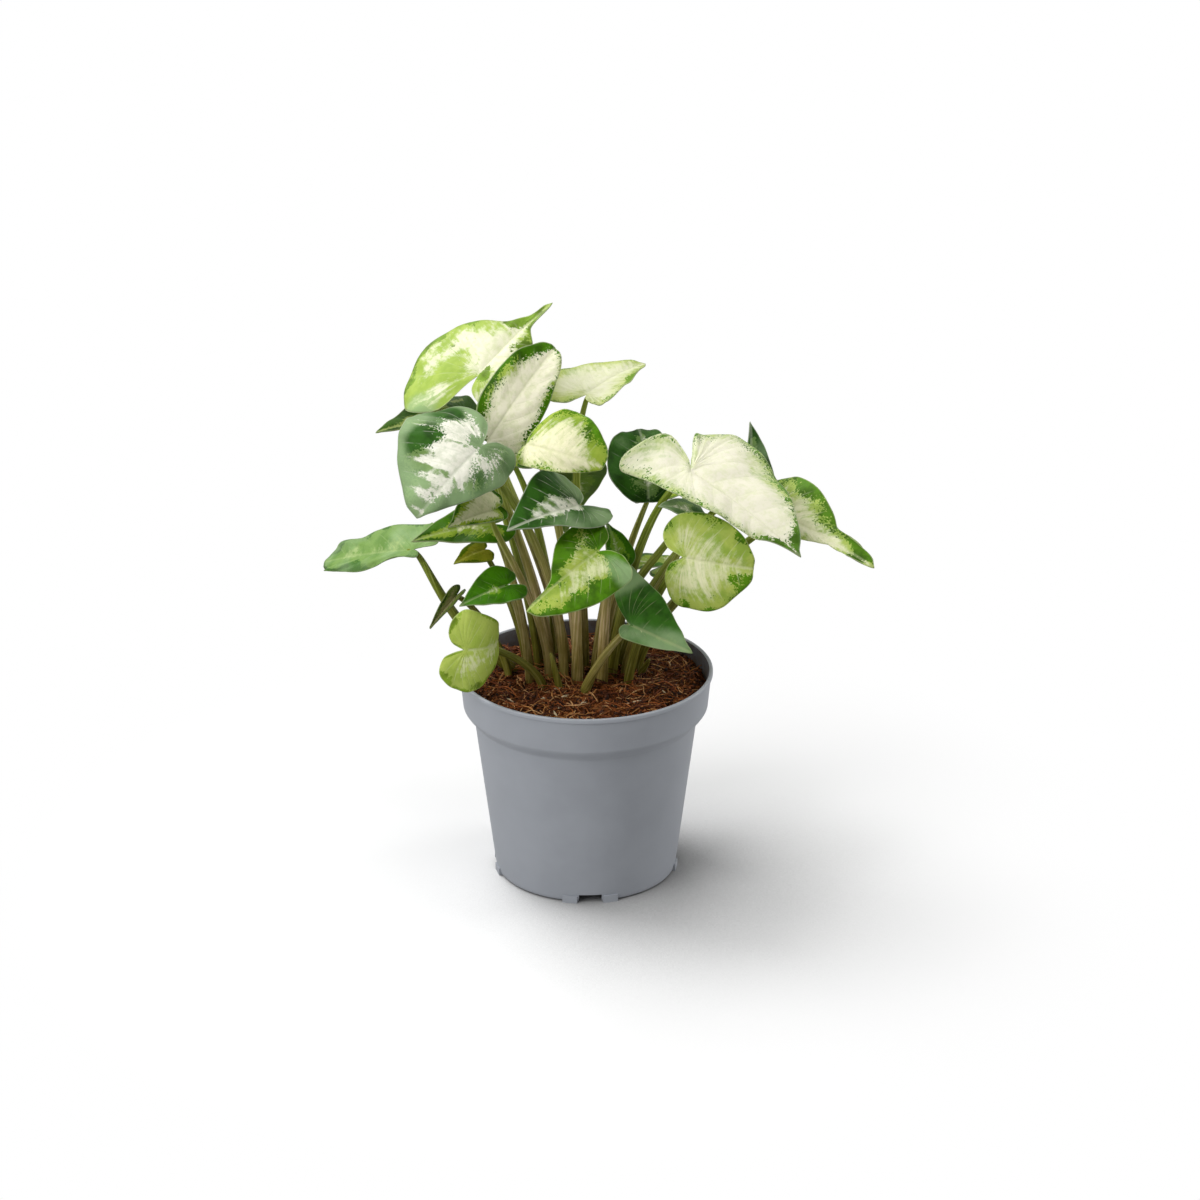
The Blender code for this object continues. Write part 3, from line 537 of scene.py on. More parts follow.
def petiole_skin():
    """Leaf stalk: firm tissue with fine ribs along it, satin, pinkish brown in the sheath and green above."""
    material, tree = new_material("petiole_skin")
    around = add(tree, "Attribute", output="Vector", attribute_name="stalk")
    pinkness = add(tree, "Attribute", output="Fac", attribute_name="pink")
    streaks = add(tree, "Mapping", {"Vector": around, "Scale": (1.0, 0.03, 1.0)})
    grain = add(tree, "TexNoise", {"Vector": streaks, "Scale": 1 / 0.7, **CLOUDY})
    blotch = add(tree, "TexNoise", {"Vector": around, "Scale": 1 / 7.0, **CLOUDY})
    along = add(tree, "SeparateXYZ", (around,), "Y")
    run = add(tree, "Math", (blotch, 40.0, along), operation="MULTIPLY_ADD")
    height = add(tree, "MapRange", (run, 20.0, 120.0))
    olive_ramp = ((0.0, "#665f1e"), (0.25, "#6c6e1c"), (0.55, "#73841f"), (1.0, "#8ca236"))
    pink_ramp = ((0.0, "#84763a"), (0.2, "#a8925e"), (0.42, "#cbb38a"), (0.7, "#b8aa70"), (1.0, "#a8b05c"))
    olive = add(tree, "ValToRGB", (height,), ramp=olive_ramp)
    pinkish = add(tree, "ValToRGB", (height,), ramp=pink_ramp)
    base = add(tree, "Mix", {FACTOR: pinkness, FIRST: olive, SECOND: pinkish}, MIXED, **COLOUR)
    # The grain that raises the ribs also colours them: the stalk's own streaks, together with painted shade
    # in the grooves and a painted highlight on the crests.
    inputs = {FACTOR: 1.0, FIRST: base, SECOND: linear("#c8cba8")}
    groove_streak_and_shade = add(tree, "Mix", inputs, MIXED, blend_type="MULTIPLY", **COLOUR)
    crest_streak_and_highlight = add(tree, "Mix", {FACTOR: 0.22, FIRST: base, SECOND: linear("#dcd3b0")}, MIXED, **COLOUR)
    groove = add(tree, "MapRange", (grain, 0.42, 0.62), **SMOOTH)
    crest = add(tree, "MapRange", (grain, 0.60, 0.74), **SMOOTH)
    lined = add(tree, "Mix", {FACTOR: groove, FIRST: groove_streak_and_shade, SECOND: base}, MIXED, **COLOUR)
    colour = add(tree, "Mix", {FACTOR: crest, FIRST: lined, SECOND: crest_streak_and_highlight}, MIXED, **COLOUR)
    bump = add(tree, "Bump", {"Height": grain, "Distance": 0.0002, "Strength": 0.5})
    inputs = {
        "Base Color": colour, "Roughness": 0.42, "IOR": 1.45, "Specular IOR Level": 0.14, "Normal": bump,
        "Subsurface Weight": 0.12, "Subsurface Radius": (0.001, 0.0012, 0.0005),
    }
    add(tree, "OutputMaterial", {"Surface": add(tree, "BsdfPrincipled", inputs)})
    return material


def pot_plastic():
    """Moulded polypropylene: an even cool grey, with an eggshell skin that gives broad soft highlights."""
    material, tree = new_material("moulded_polypropylene")
    place = add(tree, "TexCoord", output="Object")
    drift = add(tree, "TexNoise", {"Vector": place, "Scale": 1 / 0.025, **CLOUDY})
    tone = add(tree, "ValToRGB", (drift,), ramp=((0.35, "#989ca3"), (0.7, "#9ea2a9")))
    grain = add(tree, "TexNoise", {"Vector": place, "Scale": 1 / 0.0004, "Detail": 2.0, "Roughness": 0.6})
    bump = add(tree, "Bump", {"Height": grain, "Distance": 0.00004, "Strength": 0.35})
    rough = add(tree, "MapRange", (drift, 0.3, 0.7, 0.4, 0.5))
    inputs = {"Base Color": tone, "Roughness": rough, "IOR": 1.49, "Normal": bump}
    add(tree, "OutputMaterial", {"Surface": add(tree, "BsdfPrincipled", inputs)})
    return material


def shaded_dusty_plastic():
    """The same plastic inside the rim, painted much darker as painted shade, with brownish patches of dried
    soil dust that leave it matt.
    """
    material, tree = new_material("shaded_dusty_polypropylene")
    place = add(tree, "TexCoord", output="Object")
    dust = add(tree, "TexNoise", {"Vector": place, "Scale": 1 / 0.006, "Detail": 4.0, "Roughness": 0.6})
    patches = add(tree, "MapRange", (dust, 0.35, 0.65), **SMOOTH)
    inputs = {FACTOR: patches, FIRST: linear("#54545a"), SECOND: linear("#4a4038")}
    tone = add(tree, "Mix", inputs, MIXED, **COLOUR)
    skin = add(tree, "BsdfPrincipled", {"Base Color": tone, "Roughness": 0.7, "IOR": 1.49})
    add(tree, "OutputMaterial", {"Surface": skin})
    return material


def soil_crumb():
    """Moist peat and coir dust: red-brown crumbs a millimetre or two across, with no gloss."""
    material, tree = new_material("moist_peat")
    place = add(tree, "TexCoord", output="Object")
    crumbs = add(tree, "TexNoise", {"Vector": place, "Scale": 1 / 0.0024, "Detail": 5.0, "Roughness": 0.7})
    # The ramp runs to near black where the crumb noise is low, in the bump's hollows: painted shade between
    # the crumbs, over the peat's own red-brown.
    tone = add(tree, "ValToRGB", (crumbs,), ramp=((0.34, "#0e0502"), (0.5, "#4a260f"), (0.7, "#8e5228")))
    bump = add(tree, "Bump", {"Height": crumbs, "Distance": 0.0012, "Strength": 0.9})
    inputs = {"Base Color": tone, "Roughness": 0.95, "IOR": 1.4, "Specular IOR Level": 0.1, "Normal": bump}
    add(tree, "OutputMaterial", {"Surface": add(tree, "BsdfPrincipled", inputs)})
    return material


def coir_strand():
    """Coconut fibre: dry woody strands, each of its own brown, with a faint sheen along them."""
    material, tree = new_material("coconut_fibre")
    tint = add(tree, "Attribute", output="Color", attribute_name="tint")
    place = add(tree, "TexCoord", output="Object")
    specks = add(tree, "TexNoise", {"Vector": place, "Scale": 1 / 0.0011, "Detail": 2.0, "Roughness": 0.6})
    dim = add(tree, "MapRange", (specks, 0.4, 0.8, 0.0, 0.8), **SMOOTH)
    shade = add(tree, "Mix", {FACTOR: dim, FIRST: tint, SECOND: linear("#241006")}, MIXED, **COLOUR)
    inputs = {"Base Color": shade, "Roughness": 0.65, "IOR": 1.45, "Specular IOR Level": 0.2}
    add(tree, "OutputMaterial", {"Surface": add(tree, "BsdfPrincipled", inputs)})
    return material


# ---------------------------------------------------------------------------------------------
# Shapes
# ---------------------------------------------------------------------------------------------


def mesh_from(bm, name):
    """A mesh made from the bmesh, which is freed."""
    mesh = bpy.data.meshes.new(name)
    bm.to_mesh(mesh)
    bm.free()
    return mesh


def put_in_scene(name, data):
    """An object of that name in the scene, for a mesh, a lamp or a camera."""
    made = bpy.data.objects.new(name, data)
    bpy.context.scene.collection.objects.link(made)
    return made


def object_from(bm, name, materials):
    """An object that holds the bmesh, smooth shaded."""
    mesh = mesh_from(bm, name)
    mesh.shade_smooth()
    for material in materials:
        mesh.materials.append(material)
    return put_in_scene(name, mesh)


def stands_for(piece, node):
    """The piece rides with the plant, and is shown in place of the plain part of that name."""
    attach(piece, "root")
    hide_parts(node)


def pair(value):
    """The value for a blade's left and right half."""
    return value if isinstance(value, tuple) else (value, value)


def blade_axes(leaf):
    """The blade's base, chord length and frame: along the chord, to the left, and up out of the blade."""
    base = Vector(leaf.base)
    chord = Vector(leaf.tip) - base
    along = chord.normalized()
    upright = (Vector((0, 0, 1)) - along * along.z).normalized()
    roll = math.radians(leaf.roll)
    up = upright * math.cos(roll) + along.cross(upright) * math.sin(roll)
    return base, chord.length, along, up.cross(along), up


def blade_length(leaf):
    """The midrib's length along its arc."""
    half_bow = math.radians(leaf.bow) / 2
    return blade_axes(leaf)[1] * half_bow / math.sin(half_bow)


def blade_point(leaf, forward, sideways):
    """Where a point of the flat leaf lies on the curved blade. Both numbers are shares of the length."""
    base, _, along, left, up = blade_axes(leaf)
    length = blade_length(leaf)
    side = 0 if sideways >= 0 else 1
    sideways *= pair(leaf.width)[side]
    if forward < 0:
        forward *= pair(leaf.lobe)[side]

    # Across the blade, each half leaves the midrib at its fold and curls down towards its margin.
    fold = math.radians(pair(leaf.fold)[side])
    curl = math.radians(pair(leaf.curl)[side])
    curl_rate = curl / (WIDEST * length)
    out = abs(sideways) * length
    across = (math.sin(fold) - math.sin(fold - curl_rate * out)) / curl_rate
    rise = (math.cos(fold - curl_rate * out) - math.cos(fold)) / curl_rate
    across = across if side == 0 else -across
    if forward < 0:
        across -= pair(leaf.swing)[side] * forward * max(length - out / WIDEST, 0.0)

    # Along the blade, the midrib is an arc, and the lobes behind the petiole droop.
    half_bow = math.radians(leaf.bow) / 2
    if forward >= 0:
        slope = half_bow - 2 * half_bow * forward
        arc = length / (2 * half_bow)
        run = arc * (math.sin(half_bow) - math.sin(slope))
        lift = arc * (math.cos(slope) - math.cos(half_bow))
    else:
        droop_rate = math.radians(leaf.droop) / (LOBE_REACH * length)
        back = -forward * length
        run_back = math.sin(droop_rate * back) / droop_rate
        drop = (1 - math.cos(droop_rate * back)) / droop_rate
        run = -run_back * math.cos(half_bow) + drop * math.sin(half_bow)
        lift = -run_back * math.sin(half_bow) - drop * math.cos(half_bow)
        slope = half_bow + droop_rate * back
    run -= rise * math.sin(slope)
    lift += rise * math.cos(slope)
    return base + along * run + left * across + up * lift


def smooth_half(outline):
    """A half outline with a smooth curve through its points, from the tip back to the notch."""
    points = [Vector(point) for point in outline]
    chain = [2 * points[0] - points[1], *points, 2 * points[-1] - points[-2]]
    made = []
    for index in range(len(points) - 1):
        a, b, c, d = chain[index : index + 4]
        for step in range(OUTLINE_STEPS):
            t = step / OUTLINE_STEPS
            square = (2 * a - 5 * b + 4 * c - d) * t**2
            cube = (3 * b - a - 3 * c + d) * t**3
            made.append(0.5 * (2 * b + (c - a) * t + square + cube))
    return [(point.x, max(point.y, 0.0)) for point in made] + [outline[-1]]


def blade_outline(leaf):
    """The flat leaf's outline, from the notch along the left half to the tip and back on the right."""
    left, right = (smooth_half(OUTLINES[name]) for name in pair(leaf.outline))
    return list(reversed(left)) + [(forward, -sideways) for forward, sideways in right[1:]]


# Side veins leave the midrib forwards, bend towards the tip, and repeat this often over its length.
VEIN_COUNT = 5.5
VEIN_SLOPE = 0.55
VEIN_BEND = 0.9
LOBE_VEINS = 3.2

# How far a blade's margin is ragged and its skin quilted between the veins, and how far it waves,
# ripples and buckles, all as shares of its length; and the depth and width of the midrib's channel.
RAGGED = 0.05
QUILTED = 0.006
WAVES = 0.08
RIPPLES = 0.025
BUCKLES = 0.035
CHANNEL_DEPTH = 0.15
CHANNEL_WIDTH = 0.8


def vein_field(forward, sideways):
    """Which side vein a point of the flat leaf is on: a whole number on a vein, a half between two."""
    out = abs(sideways)
    ahead = forward - VEIN_BEND * out**2
    start = ahead - VEIN_SLOPE * out
    if start >= 0:
        return VEIN_COUNT * start
    first = math.atan2(1.0, VEIN_SLOPE)
    return -LOBE_VEINS * (math.atan2(out, ahead) - first)


def smoothstep(low, high, value):
    """How far a value has climbed from low (0) to high (1), eased at both ends."""
    share = min(max((value - low) / (high - low), 0.0), 1.0)
    return share * share * (3 - 2 * share)


def edge_distances(flat, outline):
    """How far each flat point lies from the outline, as a polyline."""
    starts = outline[:-1]
    steps = outline[1:] - starts
    lengths = np.maximum((steps**2).sum(1), 1e-12)
    away = flat[:, None, :] - starts[None]
    share = np.clip((away * steps[None]).sum(2) / lengths[None], 0, 1)
    return np.sqrt(((away - steps[None] * share[..., None]) ** 2).sum(2)).min(1)


def blade_mesh(leaf, seed):
    """The blade as a wrapped grid, with its relief and the fields that its skin is painted from."""
    look = LOOKS[leaf.name]
    length = blade_length(leaf)
    rim = blade_outline(leaf)
    around = len(rim) - 1
    bm = bmesh.new()
    bmesh.ops.create_grid(bm, x_segments=around, y_segments=BLADE_RINGS, size=0.5)
    flat = bm.verts.layers.float_vector.new("flat")
    ring_layer = bm.verts.layers.float.new("ring")
    turn_layer = bm.verts.layers.float.new("turn")
    for vert in bm.verts:
        turn = vert.co.x + 0.5
        forward, sideways = rim[round(turn * around)]
        ring = vert.co.y + 0.5
        ragged = noise.noise(Vector((turn * 15, 9.0, seed * 1.7))) * math.sin(math.pi * turn)
        swollen = ring * (1 + RAGGED * ragged * ring**2)
        vert.co = blade_point(leaf, forward * swollen, sideways * swollen) * MM
        vert[flat] = (sideways * ring, forward * ring, 0.0)
        vert[ring_layer] = ring
        vert[turn_layer] = turn
    bmesh.ops.remove_doubles(bm, verts=bm.verts, dist=BLADE_MERGE_METRES)
    bmesh.ops.recalc_face_normals(bm, faces=bm.faces)
    up = blade_axes(leaf)[4]
    if sum((face.normal * face.calc_area()).dot(up) for face in bm.faces) < 0:
        bmesh.ops.reverse_faces(bm, faces=bm.faces)
    bm.normal_update()

    widths = pair(leaf.width)
    lobes = pair(leaf.lobe)

    def flattened(sideways, forward):
        """A point of the flat leaf in millimetres, to the left and forwards."""
        side = 0 if sideways >= 0 else 1
        return sideways * widths[side] * length, (forward * lobes[side] if forward < 0 else forward) * length

    outline = np.array([flattened(sideways, forward) for forward, sideways in rim])
    points = np.array([flattened(vert[flat].x, vert[flat].y) for vert in bm.verts])
    edges = edge_distances(points, outline)
    deepest = edges.max()

    layers = {name: bm.verts.layers.float.new(name) for name in FIELDS}
    for vert, (x, y), edge in zip(bm.verts, points, edges):
        sideways, forward = vert[flat].x, vert[flat].y
        vein = vein_field(forward, sideways)
        between = 0.5 - 0.5 * math.cos(2 * math.pi * vein)
        patch = noise.noise(Vector((x / 11, y / 11, seed)))
        other = noise.noise(Vector((x / 8, y / 8, seed + 20)))
        left = smoothstep(-0.04, 0.04, sideways)
        inner = 0.5 * edge / (edge + abs(x) + 0.01) + 0.5 * min(1.3 * edge / deepest, 1.0)
        # Of these fields, sheen says where a painted grey-green reflection lies on the skin.
        values = {
            "cream": inner - (1 - look.cream[1] + (look.cream[1] - look.cream[0]) * left),
            "dark": look.dark[1] + (look.dark[0] - look.dark[1]) * left - inner,
            "sheen": look.sheen + 0.5 * patch,
            "vein": vein,
            "edge": edge,
            "rib": abs(x) if forward > 0 else 5.0,
        }
        values["cream"] += look.star * (0.5 - between) + look.mottle * patch
        values["dark"] += look.mottle * other
        for field, ahead, aside, radius, strength in look.washes:
            gone = (forward - ahead) ** 2 + (x / length - aside) ** 2
            values[field] += strength * math.exp(-gone / radius**2)

        ring = vert[ring_layer]
        swell = smoothstep(0.6, 3.0, abs(x)) * smoothstep(0.0, 2.5, edge)
        wave = noise.noise(Vector((vert[turn_layer] * 9, 0.0, seed * 1.7)))
        ripple = noise.noise(Vector((vert[turn_layer] * 24, 5.0, seed * 1.7)))
        buckle = noise.noise(Vector((x / 16, y / 16, seed + 40)))
        off_midrib = smoothstep(0.0, 8.0, abs(x))
        height = QUILTED * length * between * swell * (1 + patch)
        height += (WAVES * length * wave + RIPPLES * length * ripple) * ring**3 * off_midrib
        height += BUCKLES * length * buckle * off_midrib
        height -= CHANNEL_DEPTH * math.exp(-((x / CHANNEL_WIDTH) ** 2)) * smoothstep(-0.02, 0.05, forward)
        vert.co += vert.normal * height * MM

        vert[flat] = (x, y, seed * 20.0)
        for name, value in values.items():
            vert[layers[name]] = value
    return bm


def make_blade(leaf, seed):
    """A leaf blade with its upper and under skins."""
    look = LOOKS[leaf.name]
    bm = blade_mesh(leaf, seed)
    skins = (leaf_top(f"leaf_top_{leaf.name}", look), leaf_under(f"leaf_under_{leaf.name}", look))
    blade = object_from(bm, f"blade_{leaf.name}", skins)
    shell = blade.modifiers.new("Thickness", "SOLIDIFY")
    shell.thickness = BLADE_THICKNESS * MM
    shell.offset = -1.0
    shell.material_offset = 1
    stands_for(blade, f"leaf_{leaf.name}")


def bezier(points, share):
    """A point of the cubic curve through four control points."""
    a, b, c, d = points
    rest = 1 - share
    return a * rest**3 + b * (3 * rest**2 * share) + c * (3 * rest * share**2) + d * share**3


def soil_height(radius):
    """The height of the soil's surface, which is mounded towards the crown."""
    share = min(radius / SOIL_RADIUS, 1.0)
    return SOIL_CROWN_HEIGHT + (SOIL_EDGE_HEIGHT - SOIL_CROWN_HEIGHT) * share**2


def petiole_radius(leaf, share):
    """A petiole's radius from the soil (0) to the blade (1): a broad sheath that tapers off."""
    foot_radius = PETIOLE_FOOT_RADIUS + FOOT_RADIUS_PER_LENGTH * blade_length(leaf)
    return PETIOLE_TOP_RADIUS + (foot_radius - PETIOLE_TOP_RADIUS) * (1 - share) ** PETIOLE_TAPER


# A stalk's rings up to the joint, round it and under the midrib, and the rib that it runs out into:
# from where to where along the blade, how it thins out, and how far under the blade its centre is.
STALK_SIDES = 18
STALK_STEPS = 36
BEND_STEPS = 6
BEND_REACH = 0.45
RIB_STEPS = 14
RIB_START = 0.10
RIB_SHARE = 0.82
RIB_TAPER = 0.6
RIB_TIP_RADIUS = 0.22
RIB_GAP = 0.5
RIB_GAP_PER_RADIUS = 0.55


def petiole_route(leaf):
    """Centre points and radii, from the socket up the stalk, round the joint and on under the midrib."""
    base, _, along, _, up = blade_axes(leaf)
    half_bow = math.radians(leaf.bow) / 2
    start_up = up * math.cos(half_bow) - along * math.sin(half_bow)
    start_along = along * math.cos(half_bow) + up * math.sin(half_bow)
    pitch = math.radians(PETIOLE_PITCH)
    arrival = -(start_up * math.cos(pitch) + start_along * math.sin(pitch))
    end = base - start_up * PETIOLE_SEAT
    surface = soil_height(math.hypot(*leaf.root))
    foot = Vector((*leaf.root, surface - SOCKET_DEPTH))
    collar = Vector((*leaf.root, surface + COLLAR_HEIGHT))
    distance = (end - collar).length
    leaning = Vector((end.x - collar.x, end.y - collar.y, 0)) / distance * leaf.lean
    launch = (Vector((0, 0, 1)) + leaning).normalized()
    sweep = (
        collar,
        collar + launch * distance * leaf.rise,
        end + arrival * distance * leaf.reach,
        end,
    )
    route = [foot]
    radii = [petiole_radius(leaf, 0.0)]
    for index in range(STALK_STEPS):
        share = index / STALK_STEPS
        route.append(bezier(sweep, share))
        radii.append(petiole_radius(leaf, share))

    def under_rib(share):
        """The centre of the rib under the midrib, at that share of the blade, and its radius."""
        radius = PETIOLE_TOP_RADIUS + (RIB_TIP_RADIUS - PETIOLE_TOP_RADIUS) * (share / RIB_SHARE) ** RIB_TAPER
        ahead = blade_point(leaf, share + 0.01, 0.0)
        here = blade_point(leaf, share, 0.0)
        forward = (ahead - here).normalized()
        normal = forward.cross(blade_axes(leaf)[3]).normalized()
        if normal.dot(up) < 0:
            normal = -normal
        return here - normal * (BLADE_THICKNESS + RIB_GAP + RIB_GAP_PER_RADIUS * radius), radius

    start, start_radius = under_rib(RIB_START)
    reach = (start - route[-1]).length * BEND_REACH
    bend = (
        route[-1],
        route[-1] - arrival * reach,
        start - (under_rib(RIB_START + 0.02)[0] - start).normalized() * reach,
        start,
    )
    for index in range(1, BEND_STEPS):
        share = index / BEND_STEPS
        route.append(bezier(bend, share))
        radii.append(radii[STALK_STEPS] + (start_radius - radii[STALK_STEPS]) * share)
    for index in range(RIB_STEPS + 1):
        place, radius = under_rib(RIB_START + (RIB_SHARE - RIB_START) * index / RIB_STEPS)
        route.append(place)
        radii.append(radius)
    return route, radii


# A stalk's channel faces the plant's axis and upwards, and never quite ends above the sheath.
CHANNEL_RISE = 60.0
CHANNEL_LEAST = 0.12


def swept_stalk(route, radii, seed, pinkness, sheath=0.35, groove=0.5):
    """A stalk swept along the route, with a channel on its inner side that is deepest in the sheath."""
    bm = bmesh.new()
    stalk = bm.verts.layers.float_vector.new("stalk")
    pink = bm.verts.layers.float.new("pink")
    bmesh.ops.create_circle(bm, segments=STALK_SIDES, radius=1.0)
    ring = list(bm.verts)
    last = len(route) - 1
    run = 0.0
    for index, (place, radius) in enumerate(zip(route, radii)):
        if index:
            run += (place - route[index - 1]).length
            extruded = bmesh.ops.extrude_edge_only(bm, edges=ring_edges)
            ring = [item for item in extruded["geom"] if isinstance(item, bmesh.types.BMVert)]
        tangent = (route[min(index + 1, last)] - route[max(index - 1, 0)]).normalized()
        inward = Vector((-place.x, -place.y, CHANNEL_RISE))
        inner = (inward - tangent * inward.dot(tangent)).normalized()
        across = tangent.cross(inner)
        share = index / last
        depth = groove * (1 - smoothstep(0.0, sheath, share)) + CHANNEL_LEAST
        for step, vert in enumerate(ring):
            angle = 2 * math.pi * step / STALK_SIDES
            offset = math.atan2(math.sin(angle), math.cos(angle))
            hollow = 1 - depth * math.exp(-((offset / 0.55) ** 2))
            wing = 1 + 0.25 * depth * math.exp(-(((abs(offset) - 1.0) / 0.35) ** 2))
            out = radius * hollow * wing
            vert.co = (place + (inner * math.cos(angle) + across * math.sin(angle)) * out) * MM
            vert[stalk] = (angle * radius, run, seed * 10.0)
            vert[pink] = pinkness
        ring_set = set(ring)
        ring_edges = list({edge for vert in ring for edge in vert.link_edges if set(edge.verts) <= ring_set})
        if index in (0, last):
            bmesh.ops.contextual_create(bm, geom=ring_edges)
    bmesh.ops.recalc_face_normals(bm, faces=bm.faces)
    return bm


# How far a stalk is pinkish brown instead of olive: a little, or as far as its row says.
SLIGHTLY_PINK = 0.15
PINK_STALKS = {
    "top_left": 0.7, "top_cream": 0.9, "dome": 1.0, "top_right": 0.6, "centre_dark": 0.9, "left_under": 0.9,
    "inner_right": 0.6, "left_green": 0.6, "centre_low": 1.0, "small_right": 0.5, "low_left": 0.7,
    "left_round": 0.8, "low_right": 0.5, "strip": 0.6,
}


def make_petiole(leaf, seed, skin):
    """A leaf's stalk, with the rib that it runs out into."""
    route, radii = petiole_route(leaf)
    pinkness = PINK_STALKS.get(leaf.name, SLIGHTLY_PINK)
    stalk = object_from(swept_stalk(route, radii, seed, pinkness), f"stalk_{leaf.name}", (skin,))
    stands_for(stalk, f"petiole_{leaf.name}")


def make_shoot(name, foot, tip, seed, skin):
    """A young leaf still rolled in its sheath: a spear with a seam along it."""
    surface = soil_height(math.hypot(*foot))
    start = Vector((*foot, surface - SOCKET_DEPTH))
    collar = Vector((*foot, surface + COLLAR_HEIGHT))
    route = [start]
    radii = [SHOOT_RADIUS]
    for index in range(SHOOT_STEPS + 1):
        share = index / SHOOT_STEPS
        route.append(collar.lerp(Vector(tip), share))
        radii.append(SHOOT_TIP_RADIUS + (SHOOT_RADIUS - SHOOT_TIP_RADIUS) * math.sqrt(1 - share))
    spear = object_from(swept_stalk(route, radii, seed, 0.2, 1.0, 0.3), f"spear_{name}", (skin,))
    stands_for(spear, name)


# ---------------------------------------------------------------------------------------------
# Pot
# ---------------------------------------------------------------------------------------------


def pot_profile():
    """The shell's corners as (radius, height, rounding), from under the floor up and over the rim."""
    band_top = RIM_HEIGHT - LIP_DEPTH
    return (
        (0.0, FLOOR_TOP - WALL, 0.0),
        (BODY_BASE_RADIUS - FOOT_RING_WIDTH - 0.6, FLOOR_TOP - WALL, 0.4),
        (BODY_BASE_RADIUS - FOOT_RING_WIDTH, FOOT_LIFT, 0.3),
        (BODY_BASE_RADIUS - 0.3, FOOT_LIFT, 0.5),
        (BODY_BASE_RADIUS + 0.1, FOOT_LIFT + 1.6, 0.5),
        (BODY_TOP_RADIUS, BODY_TOP_HEIGHT + 0.6, 1.2),
        (BAND_BASE_RADIUS - 0.9, BAND_BASE_HEIGHT - 1.6, 1.0),
        (BAND_BASE_RADIUS, BAND_BASE_HEIGHT, 0.35),
        (BAND_TOP_RADIUS, band_top, 0.15),
        (RIM_RADIUS, band_top + 0.3, 0.3),
        (RIM_RADIUS, RIM_HEIGHT, 0.6),
        (RIM_RADIUS - LIP_WIDTH, RIM_HEIGHT, 0.5),
        (BAND_TOP_RADIUS - WALL, band_top, 0.3),
        (BAND_BASE_RADIUS - WALL, BAND_BASE_HEIGHT + 0.3, 0.6),
        (BODY_TOP_RADIUS - WALL, BODY_TOP_HEIGHT, 1.0),
        (BODY_BASE_RADIUS - WALL, FLOOR_TOP, 0.5),
        (0.0, FLOOR_TOP, 0.0),
    )


def turned_bmesh(profile, steps):
    """A solid turned about Z from (radius, height, rounding) corners."""
    bm = bmesh.new()
    corners = [bm.verts.new((radius * MM, 0.0, height * MM)) for radius, height, _ in profile]
    for first, second in zip(corners, corners[1:]):
        bm.edges.new((first, second))
    for corner, (_, _, rounding) in zip(corners, profile):
        if rounding:
            bmesh.ops.bevel(
                bm, geom=[corner], offset=rounding * MM, segments=CORNER_STEPS, profile=0.5,
                affect="VERTICES", material=-1,
            )
    bmesh.ops.spin(
        bm, geom=bm.verts[:] + bm.edges[:], cent=(0, 0, 0), axis=(0, 0, 1), angle=2 * math.pi,
        steps=steps, use_merge=True,
    )
    bmesh.ops.remove_doubles(bm, verts=bm.verts, dist=TURN_MERGE_METRES)
    bmesh.ops.recalc_face_normals(bm, faces=bm.faces)
    return bm


def cube_at(bm, size, radius, height, turn):
    """A box whose middle lies at a radius and a height, turned about Z to face outwards."""
    made = bmesh.ops.create_cube(bm, size=1.0)["verts"]
    bmesh.ops.scale(bm, vec=Vector(size) * MM, verts=made)
    bmesh.ops.translate(bm, vec=Vector((radius, 0, height)) * MM, verts=made)
    bmesh.ops.rotate(bm, matrix=Matrix.Rotation(turn, 3, "Z"), verts=made)


def boolean(target, bm, operation):
    """Cuts the bmesh from the target, or joins it on, and leaves the result in the target's mesh."""
    tool = object_from(bm, "tool", ())
    modifier = target.modifiers.new("Boolean", "BOOLEAN")
    modifier.operation = operation
    modifier.object = tool
    modifier.solver = "EXACT"
    graph = bpy.context.evaluated_depsgraph_get()
    result = bpy.data.meshes.new_from_object(target.evaluated_get(graph))
    target.modifiers.clear()
    target.data = result
    bpy.data.objects.remove(tool)


